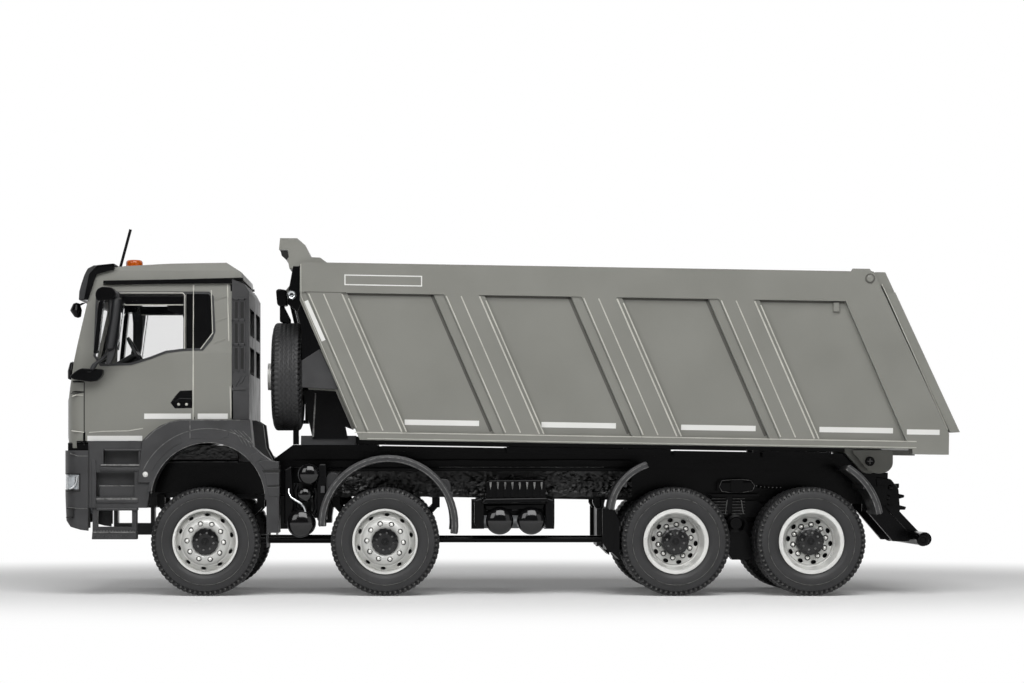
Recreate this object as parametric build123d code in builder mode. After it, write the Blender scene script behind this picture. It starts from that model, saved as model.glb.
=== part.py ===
from build123d import *
import math
import os

# Four-axle dump truck, a 1:50 model. Millimetres, +Z up, the cab faces -X and the left side is -Y.
os.makedirs("parts", exist_ok=True)

# General fits
seat = 0.05
running_fit = 0.05

# Axles and wheels
axle_x = {"1": -62.6, "2": -25.7, "3": 34.0, "4": 61.8}
tyre_radius = 11.2
tyre_width = 6.3
shoulder_drop = 0.9
tread_half = 2.45
rim_radius = 6.77
bead_radius = 6.3
bead_half = 2.5
tyre_outer_y = 25.0
dual_gap = 0.7
kingpin_y = 20.0
spindle_radius = 1.0
hub_radius = 2.8
nave_radius = 2.4
hole_count = 10
front_hole_ring = 5.45
rear_hole_ring = 4.4

# Frame: the ladder frame and the tipping body lie on a line that falls a little to the rear
rake = 0.95
pivot_x = 75.6
pivot_z = 27.7
frame_top = -2.3
frame_bottom = -9.0
frame_half = 7.6
rail_flange = 1.9
rail_wall = 0.5
frame_front = -159.5
frame_rear = 4.4
subframe_top = 1.5
subframe_half = 7.3
subframe_rail = 2.2
subframe_front = -124.7
subframe_rear = 1.7
pivot_pin_radius = 1.0
pivot_pin_half = 11.2

# Tipping body
bed_half = 25.0
bed_bottom = 2.63
bed_top = 38.85
bed_front = -119.4
bed_slant = 24.43
rail_low_top = 4.0
rail_top_low = 32.7
rib_depth = 1.1
bed_wall = 1.0
rib_pitch = 28.2
rib_width = 10.4
rib_step = 0.35
rib_shoulder = 2.1
rib_crest = 7.2
rib_first = -120.3
knee = 30.7
floor_thick = 1.2
rear_slant = 25.76
rear_top_u = -0.45
rear_top_w = 36.2
rear_low_u = 14.27
rear_low_w = 5.8
sill_bottom = 1.55
lug_radius = 2.56
lug_thick = 2.2
gate_gap = 0.45
gate_thick = 2.0
gate_pin_u = -2.52
gate_pin_w = bed_top - 1.28
gate_pin_radius = 0.8
cheek = 0.7
arm_thick = 1.1

# Telescopic cylinder, between its base trunnion and its top pin
base_u = -113.95
base_w = 2.4
top_u = -121.87
top_w = 33.28
barrel_radius = 2.3
barrel_wall = 0.35
barrel_below = 14.0
barrel_above = 24.0
stage_step = 0.4
top_pin_radius = 0.8
eye_radius = 1.5
eye_half = 1.3
ear_gap = 1.7
ear_thick = 1.0
trunnion_radius = 0.8

# Cab
cab_half = 22.4
cab_wall = 0.8
cab_front = -91.2
cab_rear = -57.3
cab_corner = 3.5
cab_bottom = 30.4
cab_floor_z = 36.8
fender_inner_y = 16.6
fender_wall = 0.8

# Wheel arch of the first axle
arch_x = -62.0
arch_z = 19.8
arch_radius = 11.7

# Spare wheel
spare_x = -46.0
spare_y = -14.2
spare_z = 45.3

axle_z = tyre_radius
tyre_mid = tyre_outer_y - tyre_width / 2
dual_mid = tyre_outer_y - tyre_width - dual_gap / 2

# Planes: side views in level and in raked coordinates, cross-sections of the raked frame
slope = math.radians(rake)
raked_side = Plane(
    origin=(pivot_x, 0, pivot_z),
    x_dir=(math.cos(slope), 0, -math.sin(slope)),
    z_dir=(0, -1, 0),
)


def level_view(y_high):
    return Plane.XZ.offset(-y_high)


def raked_view(y_high):
    return raked_side.offset(-y_high)


def raked_section(u):
    return Plane(
        origin=raked_side.from_local_coords((u, 0, 0)),
        x_dir=(0, 1, 0),
        z_dir=raked_side.x_dir,
    )


def finish(part, name):
    part.label = name
    export_step(part, "parts/" + name + ".step")


def raked_bar(outline, y_low, y_high, both_sides=True):
    """A plate or bar with a side-view outline in raked coordinates, and its mirror image."""
    with BuildPart() as bar:
        with BuildSketch(raked_view(y_high)):
            with BuildLine():
                Polyline(*outline, close=True)
            make_face()
        extrude(amount=y_high - y_low)
        if both_sides:
            mirror(about=Plane.XZ)
    return bar.part


def level_bar(outline, y_low, y_high, both_sides=True):
    """A plate or bar with a side-view outline in level coordinates, and its mirror image."""
    with BuildPart() as bar:
        with BuildSketch(level_view(y_high)):
            with BuildLine():
                Polyline(*outline, close=True)
            make_face()
        extrude(amount=y_high - y_low)
        if both_sides:
            mirror(about=Plane.XZ)
    return bar.part


def block(x_low, x_high, z_low, z_high):
    """Corners of a side-view rectangle."""
    return [(x_low, z_low), (x_high, z_low), (x_high, z_high), (x_low, z_high)]


def rod_along_y(x, z, y_low, y_high, radius):
    with BuildPart() as rod:
        with BuildSketch(level_view(y_high)):
            with Locations((x, z)):
                Circle(radius)
        extrude(amount=y_high - y_low)
    return rod.part


def rod_along_x(x_low, x_high, y, z, radius):
    with BuildPart() as rod:
        with BuildSketch(Plane.YZ.offset(x_low)):
            with Locations((y, z)):
                Circle(radius)
        extrude(amount=x_high - x_low)
    return rod.part


def fused(*pieces):
    with BuildPart() as whole:
        for piece in pieces:
            add(piece)
    return whole.part


# Ladder frame with its crossmembers and the rests under the cab
crossmember_u = [-157.5, -127.6, -102.6, -67.6, -45.6, -9.6, 2.9]
cab_rests = [(-80.0, -78.0, cab_floor_z), (-59.2, -57.0, cab_bottom)]
with BuildPart() as frame_rails:
    with BuildSketch(raked_section(frame_front)):
        with Locations((frame_half - rail_flange / 2, (frame_top + frame_bottom) / 2)):
            Rectangle(rail_flange, frame_top - frame_bottom)
        with Locations((frame_half - rail_wall - rail_flange / 2, (frame_top + frame_bottom) / 2)):
            Rectangle(rail_flange, frame_top - frame_bottom - 2 * rail_wall, mode=Mode.SUBTRACT)
    extrude(amount=frame_rear - frame_front)
    mirror(about=Plane.XZ)
    for u in crossmember_u:
        with BuildSketch(raked_section(u)):
            with Locations((0, (frame_top + frame_bottom) / 2)):
                Rectangle(2 * (frame_half - rail_wall / 2), frame_top - frame_bottom - 2 * rail_wall)
        extrude(amount=1.2)
    for x_low, x_high, z_high in cab_rests:
        add(level_bar(block(x_low, x_high, 27.0, z_high - seat), frame_half - rail_flange, frame_half))
finish(frame_rails.part, "frame_rails")

# Tipper subframe: two box rails with a chamfered nose, cross tubes, pivot shaft, cylinder cradle
cradle_top = 3.4
cradle_front = -119.3
cradle_rear = -107.3
cradle_inner = 4.3
subframe_outline = [
    (subframe_front, frame_top),
    (subframe_front, frame_top + 0.9),
    (subframe_front + 3.8, subframe_top),
    (subframe_rear, subframe_top),
    (subframe_rear, frame_top),
]
cradle_outline = [
    (cradle_front, subframe_top),
    (cradle_rear, subframe_top),
    (cradle_rear, cradle_top),
    (cradle_front, cradle_top),
]
with BuildPart() as subframe:
    add(raked_bar(subframe_outline, subframe_half - subframe_rail, subframe_half))
    for u in [subframe_front + 4, -96, -66, -36, -9]:
        with BuildSketch(raked_section(u)):
            with Locations((0, (subframe_top + frame_top) / 2)):
                Rectangle(2 * subframe_half - subframe_rail, subframe_top - frame_top - 1.2)
        extrude(amount=1.2)
    add(raked_bar(cradle_outline, cradle_inner, subframe_half))
    with BuildSketch(raked_view(subframe_half)):
        with Locations((base_u, base_w)):
            Circle(1.7)
    extrude(amount=subframe_half - cradle_inner)
    with BuildSketch(raked_view(-cradle_inner)):
        with Locations((base_u, base_w)):
            Circle(1.7)
    extrude(amount=subframe_half - cradle_inner)
    with BuildSketch(raked_side):
        with Locations((base_u, base_w)):
            Circle(trunnion_radius + running_fit)
    extrude(amount=subframe_half + 1, both=True, mode=Mode.SUBTRACT)
    with BuildSketch(raked_side):
        Circle(pivot_pin_radius)
    extrude(amount=pivot_pin_half, both=True)
finish(subframe.part, "subframe")

# Engine: one plain block between the rails
engine_front = -152.5
engine_low = -10.1
engine_high = 0.3
with BuildPart() as engine_block:
    with BuildSketch(raked_section(engine_front)):
        with Locations((0, (engine_low + engine_high) / 2)):
            Rectangle(10.4, engine_high - engine_low)
    extrude(amount=crossmember_u[1] - seat - engine_front)
finish(engine_block.part, "engine_block")

# Cab: one hollow casting, the meeting of a side, a plan and a front view, inset by a wall
cab_profile = [
    (cab_front, cab_bottom),
    (cab_front, 40.3),
    (-90.5, 44.4),
    (-89.9, 48.1),
    (-87.0, 60.8),
    (-86.0, 65.9),
    (-84.6, 67.4),
    (-79.0, 68.0),
    (-70.0, 68.5),
    (cab_rear - 1.2, 68.7),
    (cab_rear + 1.9, 66.7),
    (cab_rear + 2.1, 65.3),
    (cab_rear, 65.3),
    (cab_rear, cab_bottom),
]
cab_belt_z = 50.0
cab_roof_half = 21.2


def cab_form(inset, drop=0.0):
    """The cab's outer form drawn in by inset on all sides, with its bottom let down by drop."""
    with BuildPart() as form:
        with BuildSketch(Plane.XZ):
            with BuildLine():
                Polyline(*cab_profile, close=True)
            make_face()
            if inset:
                offset(amount=-inset, kind=Kind.INTERSECTION)
            if drop:
                with Locations(((cab_front + cab_rear) / 2, cab_bottom)):
                    Rectangle(cab_rear - cab_front - 2 * inset, 2 * (inset + drop))
        extrude(amount=cab_half + 3, both=True)
        half = cab_half - inset
        roof_half = cab_roof_half - inset
        with BuildSketch(Plane.YZ.offset(cab_front - 3)):
            with BuildLine():
                Polyline(
                    (-half, 20),
                    (half, 20),
                    (half, cab_belt_z),
                    (roof_half, 67.0 - inset),
                    (roof_half - 2.2, 71),
                    (2.2 - roof_half, 71),
                    (-roof_half, 67.0 - inset),
                    (-half, cab_belt_z),
                    close=True,
                )
            make_face()
        extrude(amount=46, mode=Mode.INTERSECT)
        with BuildSketch(Plane.XY.offset(20)):
            with Locations((cab_front + inset + 25, 0)):
                RectangleRounded(50, 2 * half, cab_corner - inset)
        extrude(amount=55, mode=Mode.INTERSECT)
    return form.part


fender_outline = [
    (-76.4, 23.3),
    (-75.5, 31.9),
    (-73.9, 33.5),
    (-71.85, 34.95),
    (-69.8, 35.8),
    (-67.75, 36.2),
    (-53.4, 36.2),
    (-52.8, 30.65),
    (-50.9, 29.0),
    (-47.5, 26.75),
    (-47.5, 13.0),
    (-49.9, 13.0),
    (-49.9, 10.0),
    (-73.6, 10.0),
    (-73.6, 23.3),
]
side_window = [
    (-84.8, 62.3),
    (-85.4, 49.2),
    (-84.15, 47.6),
    (-78.0, 47.8),
    (-73.9, 49.1),
    (-70.8, 50.3),
    (-67.1, 50.75),
    (-67.0, 62.3),
]
quarter_panel = [
    (-66.7, 50.75),
    (-63.4, 50.85),
    (-61.6, 53.0),
    (-61.0, 54.5),
    (-61.6, 62.3),
    (-66.7, 62.3),
]
windscreen_low = 48.6
windscreen_high = 60.6
windscreen_half = 19.2


def side_prism(outline, shrink=0.0):
    with BuildPart() as prism:
        with BuildSketch(Plane.XZ):
            with BuildLine():
                Polyline(*outline, close=True)
            make_face()
            if shrink:
                offset(amount=-shrink, kind=Kind.INTERSECTION)
        extrude(amount=30, both=True)
    return prism.part


def windscreen_prism(shrink=0.0):
    with BuildPart() as prism:
        with BuildSketch(Plane.YZ.offset(cab_front - 3)):
            with Locations((0, (windscreen_low + windscreen_high) / 2)):
                RectangleRounded(
                    2 * (windscreen_half - shrink),
                    windscreen_high - windscreen_low - 2 * shrink,
                    1.2,
                )
        extrude(amount=8)
    return prism.part


with BuildPart() as cab_shell:
    add(cab_form(0))
    add(cab_form(cab_wall, 3.0), mode=Mode.SUBTRACT)
    add(side_prism(side_window), mode=Mode.SUBTRACT)
    add(side_prism(quarter_panel), mode=Mode.SUBTRACT)
    add(windscreen_prism(), mode=Mode.SUBTRACT)
    # Side walls end above the first fenders
    with BuildSketch(level_view(30)):
        with BuildLine():
            Polyline(*fender_outline, close=True)
        make_face()
        offset(amount=seat, kind=Kind.INTERSECTION)
    extrude(amount=30 - fender_inner_y + seat, mode=Mode.SUBTRACT)
    with BuildSketch(level_view(seat - fender_inner_y)):
        with BuildLine():
            Polyline(*fender_outline, close=True)
        make_face()
        offset(amount=seat, kind=Kind.INTERSECTION)
    extrude(amount=30 - fender_inner_y, mode=Mode.SUBTRACT)
    # Sides stop level with the top of the steps
    with BuildSketch(Plane.XZ):
        with Locations((-82.0, 29.0)):
            Rectangle(14.5, 2 * (31.9 - 29.0))
    extrude(amount=30, both=True, mode=Mode.SUBTRACT)
finish(cab_shell.part, "cab_shell")

with BuildPart() as cab_glazing:
    add(cab_form(0.1))
    add(cab_form(0.6, 3.0), mode=Mode.SUBTRACT)
    add(fused(side_prism(side_window, seat), windscreen_prism(seat)), mode=Mode.INTERSECT)
finish(cab_glazing.part, "cab_glazing")

# Inside of the cab: floor, dashboard with column and wheel, two seats
seat_front = cab_rear - 16.2
with BuildPart() as cab_interior:
    with BuildSketch(Plane.XY.offset(cab_floor_z)):
        with Locations(((cab_front + cab_rear) / 2, 0)):
            Rectangle(cab_rear - cab_front, 2 * cab_half)
    extrude(amount=0.8)
    add(cab_form(cab_wall + seat, 3.0), mode=Mode.INTERSECT)
    for y in (-11.5, 11.5):
        with BuildSketch(level_view(y + 4.5)):
            with BuildLine():
                Polyline(
                    (seat_front, 37.2),
                    (seat_front + 10.5, 37.2),
                    (seat_front + 12.9, 57.5),
                    (seat_front + 10.9, 57.5),
                    (seat_front + 8.5, 43.2),
                    (seat_front, 42.4),
                    close=True,
                )
            make_face()
        extrude(amount=9)
    with BuildSketch(level_view(20.5)):
        with BuildLine():
            Polyline((-89.2, 37.2), (-84.5, 37.2), (-83.0, 45.5), (-83.6, 48.2), (-88.7, 47.6), close=True)
        make_face()
    extrude(amount=41)
    with BuildSketch(Plane(origin=(-84.0, -11.5, 46.5), x_dir=(0, 1, 0), z_dir=(0.87, 0, 0.5))):
        Circle(0.7)
    extrude(amount=7.0)
    with BuildSketch(Plane(origin=(-78.0, -11.5, 50.0), x_dir=(0, 1, 0), z_dir=(0.87, 0, 0.5))):
        Circle(4.0)
        Circle(3.4, mode=Mode.SUBTRACT)
        Rectangle(7.2, 0.8)
    extrude(amount=0.6)
finish(cab_interior.part, "cab_interior")

# Black trim: sun visor, drip rails, quarter panels, antenna
visor_outline = [
    (-92.0, 60.9),
    (-86.9, 60.9),
    (-85.2, 66.2),
    (-81.5, 67.2),
    (-81.5, 68.4),
    (-86.5, 69.0),
    (-92.0, 66.0),
]
drip_outline = [(-83.2, 64.1), (cab_rear - seat, 64.35), (cab_rear - seat, 65.15), (-83.2, 64.9)]
antenna_foot = (-81.1, -16.0, 67.0)
with BuildPart() as cab_trim:
    add(cab_form(-0.75))
    add(cab_form(-0.02, 3.0), mode=Mode.SUBTRACT)
    add(fused(side_prism(visor_outline), side_prism(drip_outline)), mode=Mode.INTERSECT)
with BuildPart() as quarter_panels:
    add(cab_form(0.05))
    add(cab_form(0.6, 3.0), mode=Mode.SUBTRACT)
    add(side_prism(quarter_panel, seat), mode=Mode.INTERSECT)
with BuildPart() as antenna:
    with BuildSketch(Plane(origin=antenna_foot, z_dir=(0.26, 0, 0.966))):
        Circle(0.3)
    extrude(amount=9.2)
    add(cab_form(-seat), mode=Mode.SUBTRACT)
finish(fused(cab_trim.part, quarter_panels.part, antenna.part), "cab_trim")

# Grille on the cab's front, with slots
with BuildPart() as grille:
    add(cab_form(-0.5))
    add(cab_form(-0.02, 3.0), mode=Mode.SUBTRACT)
    with BuildSketch(Plane.YZ.offset(cab_front - 3)):
        with Locations((0, 38.6)):
            RectangleRounded(31.0, 13.6, 1.5)
    extrude(amount=5, mode=Mode.INTERSECT)
    with BuildSketch(Plane.YZ.offset(cab_front - 3)):
        for z in (34.2, 37.0, 39.8):
            with Locations((0, z)):
                RectangleRounded(26.0, 1.5, 0.5)
    extrude(amount=2.75, mode=Mode.SUBTRACT)
finish(grille.part, "grille")

# Bumper: front wall with side returns, on a bracket at the frame's front
bumper_front = -91.7
frame_nose = raked_side.from_local_coords((frame_front, frame_bottom, 0)).X
bumper_rear = -86.65
bumper_half = 24.4
bumper_wall = 1.2
bumper_outline = [
    (bumper_front, 29.9),
    (bumper_rear, 29.9),
    (bumper_rear, 13.4),
    (-88.2, 13.6),
    (-90.3, 14.2),
    (-91.3, 15.5),
    (bumper_front, 22.0),
]


def bumper_form(inset):
    with BuildPart() as form:
        add(level_bar(bumper_outline, -bumper_half, bumper_half, both_sides=False))
        with BuildSketch(Plane.XY.offset(10)):
            with Locations((bumper_front + inset + 15, 0)):
                RectangleRounded(30, 2 * (bumper_half - inset), 3.6 - inset)
        extrude(amount=30, mode=Mode.INTERSECT)
    return form.part


def lamp_space(row, inset):
    """Box of one lamp opening from its table row, drawn in on all sides, with its mirror image."""
    x_low, x_high, z_low, z_high, y_low, y_high = row
    outline = block(x_low, x_high - inset, z_low + inset, z_high - inset)
    return level_bar(outline, y_low + inset, y_high - inset)


# Openings: front, back, bottom, top, inner and outer side
lamp_boxes = [
    (-95.0, -88.5, 21.9, 25.0, 16.4, 30.0),
    (-95.0, -90.1, 16.2, 18.0, 16.8, 20.6),
]
with BuildPart() as bumper:
    add(bumper_form(0))
    add(bumper_form(bumper_wall), mode=Mode.SUBTRACT)
    for row in lamp_boxes:
        add(lamp_space(row, 0), mode=Mode.SUBTRACT)
    with BuildSketch(level_view(7.0)):
        with BuildLine():
            Polyline(*block(bumper_front + 1.1, frame_nose - seat, 21.3, 27.7), close=True)
        make_face()
    extrude(amount=14)
finish(bumper.part, "bumper")
with BuildPart() as lamps:
    add(bumper_form(0.1))
    add(bumper_form(bumper_wall + 0.1), mode=Mode.SUBTRACT)
    add(fused(*[lamp_space(row, seat) for row in lamp_boxes]), mode=Mode.INTERSECT)
finish(lamps.part, "lamps")

# Step panels below the doors, each with two recesses and a hanging lower step
step_outline = [
    (bumper_rear + seat, 31.8),
    (-75.65, 31.8),
    (-76.5, 23.2),
    (-73.75, 23.2),
    (-74.6, 18.1),
    (bumper_rear + seat, 18.1),
]
step_outer = 24.4
step_inner = 19.4
with BuildPart() as cab_steps:
    with BuildSketch(level_view(step_outer)):
        with BuildLine():
            Polyline(*step_outline, close=True)
        make_face()
    extrude(amount=step_outer - step_inner)
    with BuildSketch(level_view(step_outer)):
        with Locations((-79.9, 28.6)):
            Rectangle(7.2, 2.9)
        with Locations((-81.4, 22.9)):
            Rectangle(8.6, 5.0)
    extrude(amount=2.6, mode=Mode.SUBTRACT)
    with BuildSketch(level_view(step_outer - 0.6)):
        with Locations((-81.3, 15.6)):
            Rectangle(9.0, 5.4)
            with Locations((0, 0.7)):
                Rectangle(7.2, 4.2, mode=Mode.SUBTRACT)
    extrude(amount=3.4)
    mirror(about=Plane.XZ)
finish(cab_steps.part, "cab_steps")

# First fenders: hollow mouldings over the tyre with a flap behind
with BuildPart() as front_fenders:
    with BuildSketch(level_view(tyre_outer_y)):
        with BuildLine():
            Polyline(*fender_outline, close=True)
        make_face()
        with Locations((arch_x, arch_z)):
            Circle(arch_radius, mode=Mode.SUBTRACT)
        with Locations((arch_x, arch_z - 10)):
            Rectangle(2 * arch_radius + 0.6, 20, mode=Mode.SUBTRACT)
    extrude(amount=tyre_outer_y - fender_inner_y)
    mirror(about=Plane.XZ)
fender_pocket_top = 35.3
with BuildPart() as fender_pocket:
    with BuildSketch(level_view(tyre_outer_y - fender_wall)):
        with BuildLine():
            Polyline(
                (-75.0, 24.2),
                (-74.7, 31.6),
                (-73.3, 32.8),
                (-71.4, 34.2),
                (-69.4, 35.0),
                (-67.6, 35.4),
                (-54.2, 35.4),
                (-53.5, 30.2),
                (-51.4, 28.3),
                (-48.4, 26.2),
                (-48.4, 20.0),
                close=True,
            )
        make_face()
        with Locations((arch_x, arch_z)):
            Circle(arch_radius + fender_wall, mode=Mode.SUBTRACT)
    extrude(amount=tyre_outer_y - fender_wall - fender_inner_y + 1)
    mirror(about=Plane.XZ)
front_fender_body = front_fenders.part - fender_pocket.part

# Second and rear fenders: sheets bent to an arc, from table rows of start, middle and end
arc_fenders = [
    ((-38.6, 14.3), (-25.2, 28.15), (-11.6, 12.8), 17.9, 1.3),
    ((20.7, 17.7), (23.2, 23.6), (28.2, 26.9), 11.9, 1.0),
    ((69.0, 26.4), (73.3, 22.4), (75.6, 16.8), 11.9, 1.0),
]
with BuildPart() as arc_sheets:
    for start, middle, end, inner_y, thick in arc_fenders:
        with BuildSketch(level_view(tyre_outer_y - 0.3)):
            with BuildLine() as fender_arc:
                ThreePointArc(start, middle, end)
            trace(fender_arc.line, line_width=thick)
        extrude(amount=tyre_outer_y - 0.3 - inner_y)
    # Flap in front of the third axle and brackets that carry the sheets
    for outline, y_low, y_high in [
        (block(19.7, 20.7, 9.5, 18.2), 11.9, 24.5),
        (block(-38.9, -38.1, 21.2, 22.6), 7.65, 24.6),
        (block(-12.6, -11.8, 20.0, 21.4), 7.65, 24.6),
        (block(22.9, 23.9, 22.4, 23.4), 7.65, 24.6),
        (block(72.4, 73.4, 22.0, 23.0), 7.65, 24.6),
    ]:
        add(level_bar(outline, y_low, y_high, both_sides=False))
    mirror(about=Plane.XZ)
finish(fused(front_fender_body, arc_sheets.part), "fenders")

# Mirrors on arms at the front pillars
with BuildPart() as mirrors:
    with BuildSketch(level_view(29.0)):
        with BuildLine():
            Polyline((-83.6, 60.8), (-80.0, 60.8), (-81.6, 50.1), (-85.0, 50.1), close=True)
        make_face()
    extrude(amount=3.4)
    for outline, y_low, y_high in [
        (block(-86.5, -85.2, 59.2, 60.6), 21.8, 26.2),
        (block(-86.5, -83.0, 59.2, 60.6), 25.4, 26.2),
        (block(-88.0, -84.2, 44.4, 46.9), cab_half + seat, 26.2),
        (block(-85.2, -84.3, 46.5, 51.0), 25.2, 26.2),
    ]:
        add(level_bar(outline, y_low, y_high, both_sides=False))
    mirror(about=Plane.XZ)
finish(mirrors.part, "mirrors")

# Beacons on the roof
beacon_x = -78.05
beacon_y = 14.5
with BuildPart() as beacons:
    with BuildSketch(Plane.XY.offset(67.3)):
        with Locations((beacon_x, -beacon_y), (beacon_x, beacon_y)):
            Circle(1.75)
    extrude(amount=2.3)
    fillet(beacons.faces().group_by(Axis.Z)[-1].edges(), 0.6)
    add(cab_form(-0.02, 3.0), mode=Mode.SUBTRACT)
finish(beacons.part, "beacons")

# Air intake and exhaust housing across the back of the cab, on brackets from the frame
stack_front = cab_rear + seat
stack_rear = cab_rear + 3.6
stack_low = 36.3
stack_bracket = [
    (cab_rear + 0.5, 27.65),
    (stack_rear + 4.3, 27.65),
    (stack_rear + 2.7, 30.6),
    (stack_rear + 2.1, 35.4),
    (stack_rear + 0.7, stack_low),
    (cab_rear + 0.5, stack_low),
]
with BuildPart() as rear_stack:
    with BuildSketch(level_view(22.2)):
        with BuildLine():
            Polyline(
                (stack_front, stack_low),
                (stack_rear, stack_low),
                (stack_rear, 62.5),
                (stack_rear - 0.9, 64.2),
                (stack_front, 65.2),
                close=True,
            )
        make_face()
    extrude(amount=44.4)
    with BuildSketch(Plane.YZ.offset(stack_rear)):
        for y in (-11.2, 11.2):
            with Locations((y, 56.5), (y, 48.5)):
                RectangleRounded(17.0, 5.6, 0.8)
    extrude(amount=-0.7, mode=Mode.SUBTRACT)
    add(level_bar(stack_bracket, 5.4, 7.4))
finish(rear_stack.part, "rear_stack")


def wheel_plane(x, y, side):
    """Side section through a wheel: radius across, distance outboard of y upward."""
    return Plane(origin=(x, y, axle_z), x_dir=(1, 0, 0), z_dir=(0, 0, side))


def turned(plane, outline):
    """A body of revolution: radius across the plane, distance along the axis upward."""
    with BuildPart() as body:
        with BuildSketch(plane):
            with BuildLine():
                Polyline(*outline, close=True)
            make_face()
        revolve(axis=Axis(plane.origin, plane.y_dir))
    return body.part


def tyre_outline(middle):
    """Half section of a tyre on its rim: bead, sidewall, shoulder, tread."""
    half = tyre_width / 2
    return [
        (bead_radius, middle - bead_half),
        (bead_radius, middle + bead_half),
        (tyre_radius - shoulder_drop, middle + half),
        (tyre_radius, middle + tread_half),
        (tyre_radius, middle - tread_half),
        (tyre_radius - shoulder_drop, middle - half),
    ]


flank_slope = (tyre_width / 2 - bead_half) / (tyre_radius - shoulder_drop - bead_radius)
flange_inner = bead_half + (rim_radius - bead_radius) * flank_slope
flange_outer = flange_inner + 0.3
hub_bore = spindle_radius + running_fit
front_hub_inner = 0.15
front_hub_outer = 2.95


def front_rim(x, side):
    y = side * tyre_mid
    outline = [
        (0, front_hub_outer),
        (hub_radius - 0.4, front_hub_outer),
        (hub_radius, front_hub_outer - 0.4),
        (hub_radius, 2.15),
        (4.75, 2.0),
        (5.15, 1.25),
        (5.75, 1.05),
        (5.95, flange_outer),
        (rim_radius, flange_outer),
        (rim_radius, flange_inner),
        (bead_radius, bead_half),
        (bead_radius, -bead_half),
        (rim_radius, -flange_inner),
        (rim_radius, -flange_outer),
        (5.95, -flange_outer),
        (5.75, 0.4),
        (4.9, 0.55),
        (4.5, 1.4),
        (nave_radius, 1.5),
        (nave_radius, front_hub_inner),
        (hub_bore, front_hub_inner),
        (hub_bore, 1.9),
        (0, 1.9),
    ]
    with BuildPart() as rim:
        add(turned(wheel_plane(x, y, side), outline))
        with BuildSketch(Plane(origin=(x, y, axle_z), x_dir=(1, 0, 0), z_dir=(0, side, 0))):
            with PolarLocations(front_hole_ring, hole_count, start_angle=8):
                Ellipse(0.5, 0.75)
        extrude(amount=3, mode=Mode.SUBTRACT)
    return rim.part


rear_disc = 0.9
rear_hub_outer = 4.4
rear_half_gap = dual_gap / 2 + tyre_width / 2
rear_hub_inner = -4.0


def rear_rim(x, side):
    y = side * dual_mid
    outline = [
        (0, rear_hub_outer),
        (hub_radius - 0.4, rear_hub_outer),
        (hub_radius, rear_hub_outer - 0.4),
        (hub_radius, rear_disc),
        (5.1, rear_disc),
        (5.7, rear_disc + 0.7),
        (5.95, rear_half_gap + flange_outer),
        (rim_radius, rear_half_gap + flange_outer),
        (rim_radius, rear_half_gap + flange_inner),
        (bead_radius, rear_half_gap + bead_half),
        (bead_radius, rear_half_gap - bead_half),
        (rim_radius, rear_half_gap - flange_inner),
        (rim_radius, flange_inner - rear_half_gap),
        (bead_radius, bead_half - rear_half_gap),
        (bead_radius, -bead_half - rear_half_gap),
        (rim_radius, -flange_inner - rear_half_gap),
        (rim_radius, -flange_outer - rear_half_gap),
        (5.95, -flange_outer - rear_half_gap),
        (5.7, -0.6),
        (nave_radius, -0.6),
        (nave_radius, rear_hub_inner),
        (hub_bore, rear_hub_inner),
        (hub_bore, 3.0),
        (0, 3.0),
    ]
    with BuildPart() as rim:
        add(turned(wheel_plane(x, y, side), outline))
        with BuildSketch(Plane(origin=(x, y, axle_z), x_dir=(1, 0, 0), z_dir=(0, side, 0))):
            with PolarLocations(rear_hole_ring, hole_count, start_angle=18):
                Ellipse(0.6, 0.55)
        extrude(amount=2, both=True, mode=Mode.SUBTRACT)
    return rim.part


# Wheels: the rim node and the tyre node of each wheel body
sides = {"left": -1, "right": 1}
for axle, x in axle_x.items():
    for side_name, side in sides.items():
        steered = axle in ("1", "2")
        if steered:
            finish(front_rim(x, side), "rim_" + axle + "_" + side_name)
            tyre = turned(wheel_plane(x, side * tyre_mid, side), tyre_outline(0))
        else:
            finish(rear_rim(x, side), "rim_" + axle + "_" + side_name)
            plane = wheel_plane(x, side * dual_mid, side)
            tyre = fused(
                turned(plane, tyre_outline(rear_half_gap)),
                turned(plane, tyre_outline(-rear_half_gap)),
            )
        finish(tyre, "tyre_" + axle + "_" + side_name)

# Steering knuckles: two ears round the beam end, a web outboard, the spindle, the steering arm
kingpin_radius = 0.5
beam_end_half = 1.3
beam_end_radius = 1.2
ear_radius = 1.3
ear_inner = beam_end_half + 0.1
ear_outer = 2.3
web_inner = 1.35
web_outer = 1.85
arm_reach = 3.0
arm_top = axle_z - 1.45
arm_bottom = axle_z - 2.3
ball_radius = 0.35
rod_half = 0.35


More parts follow.
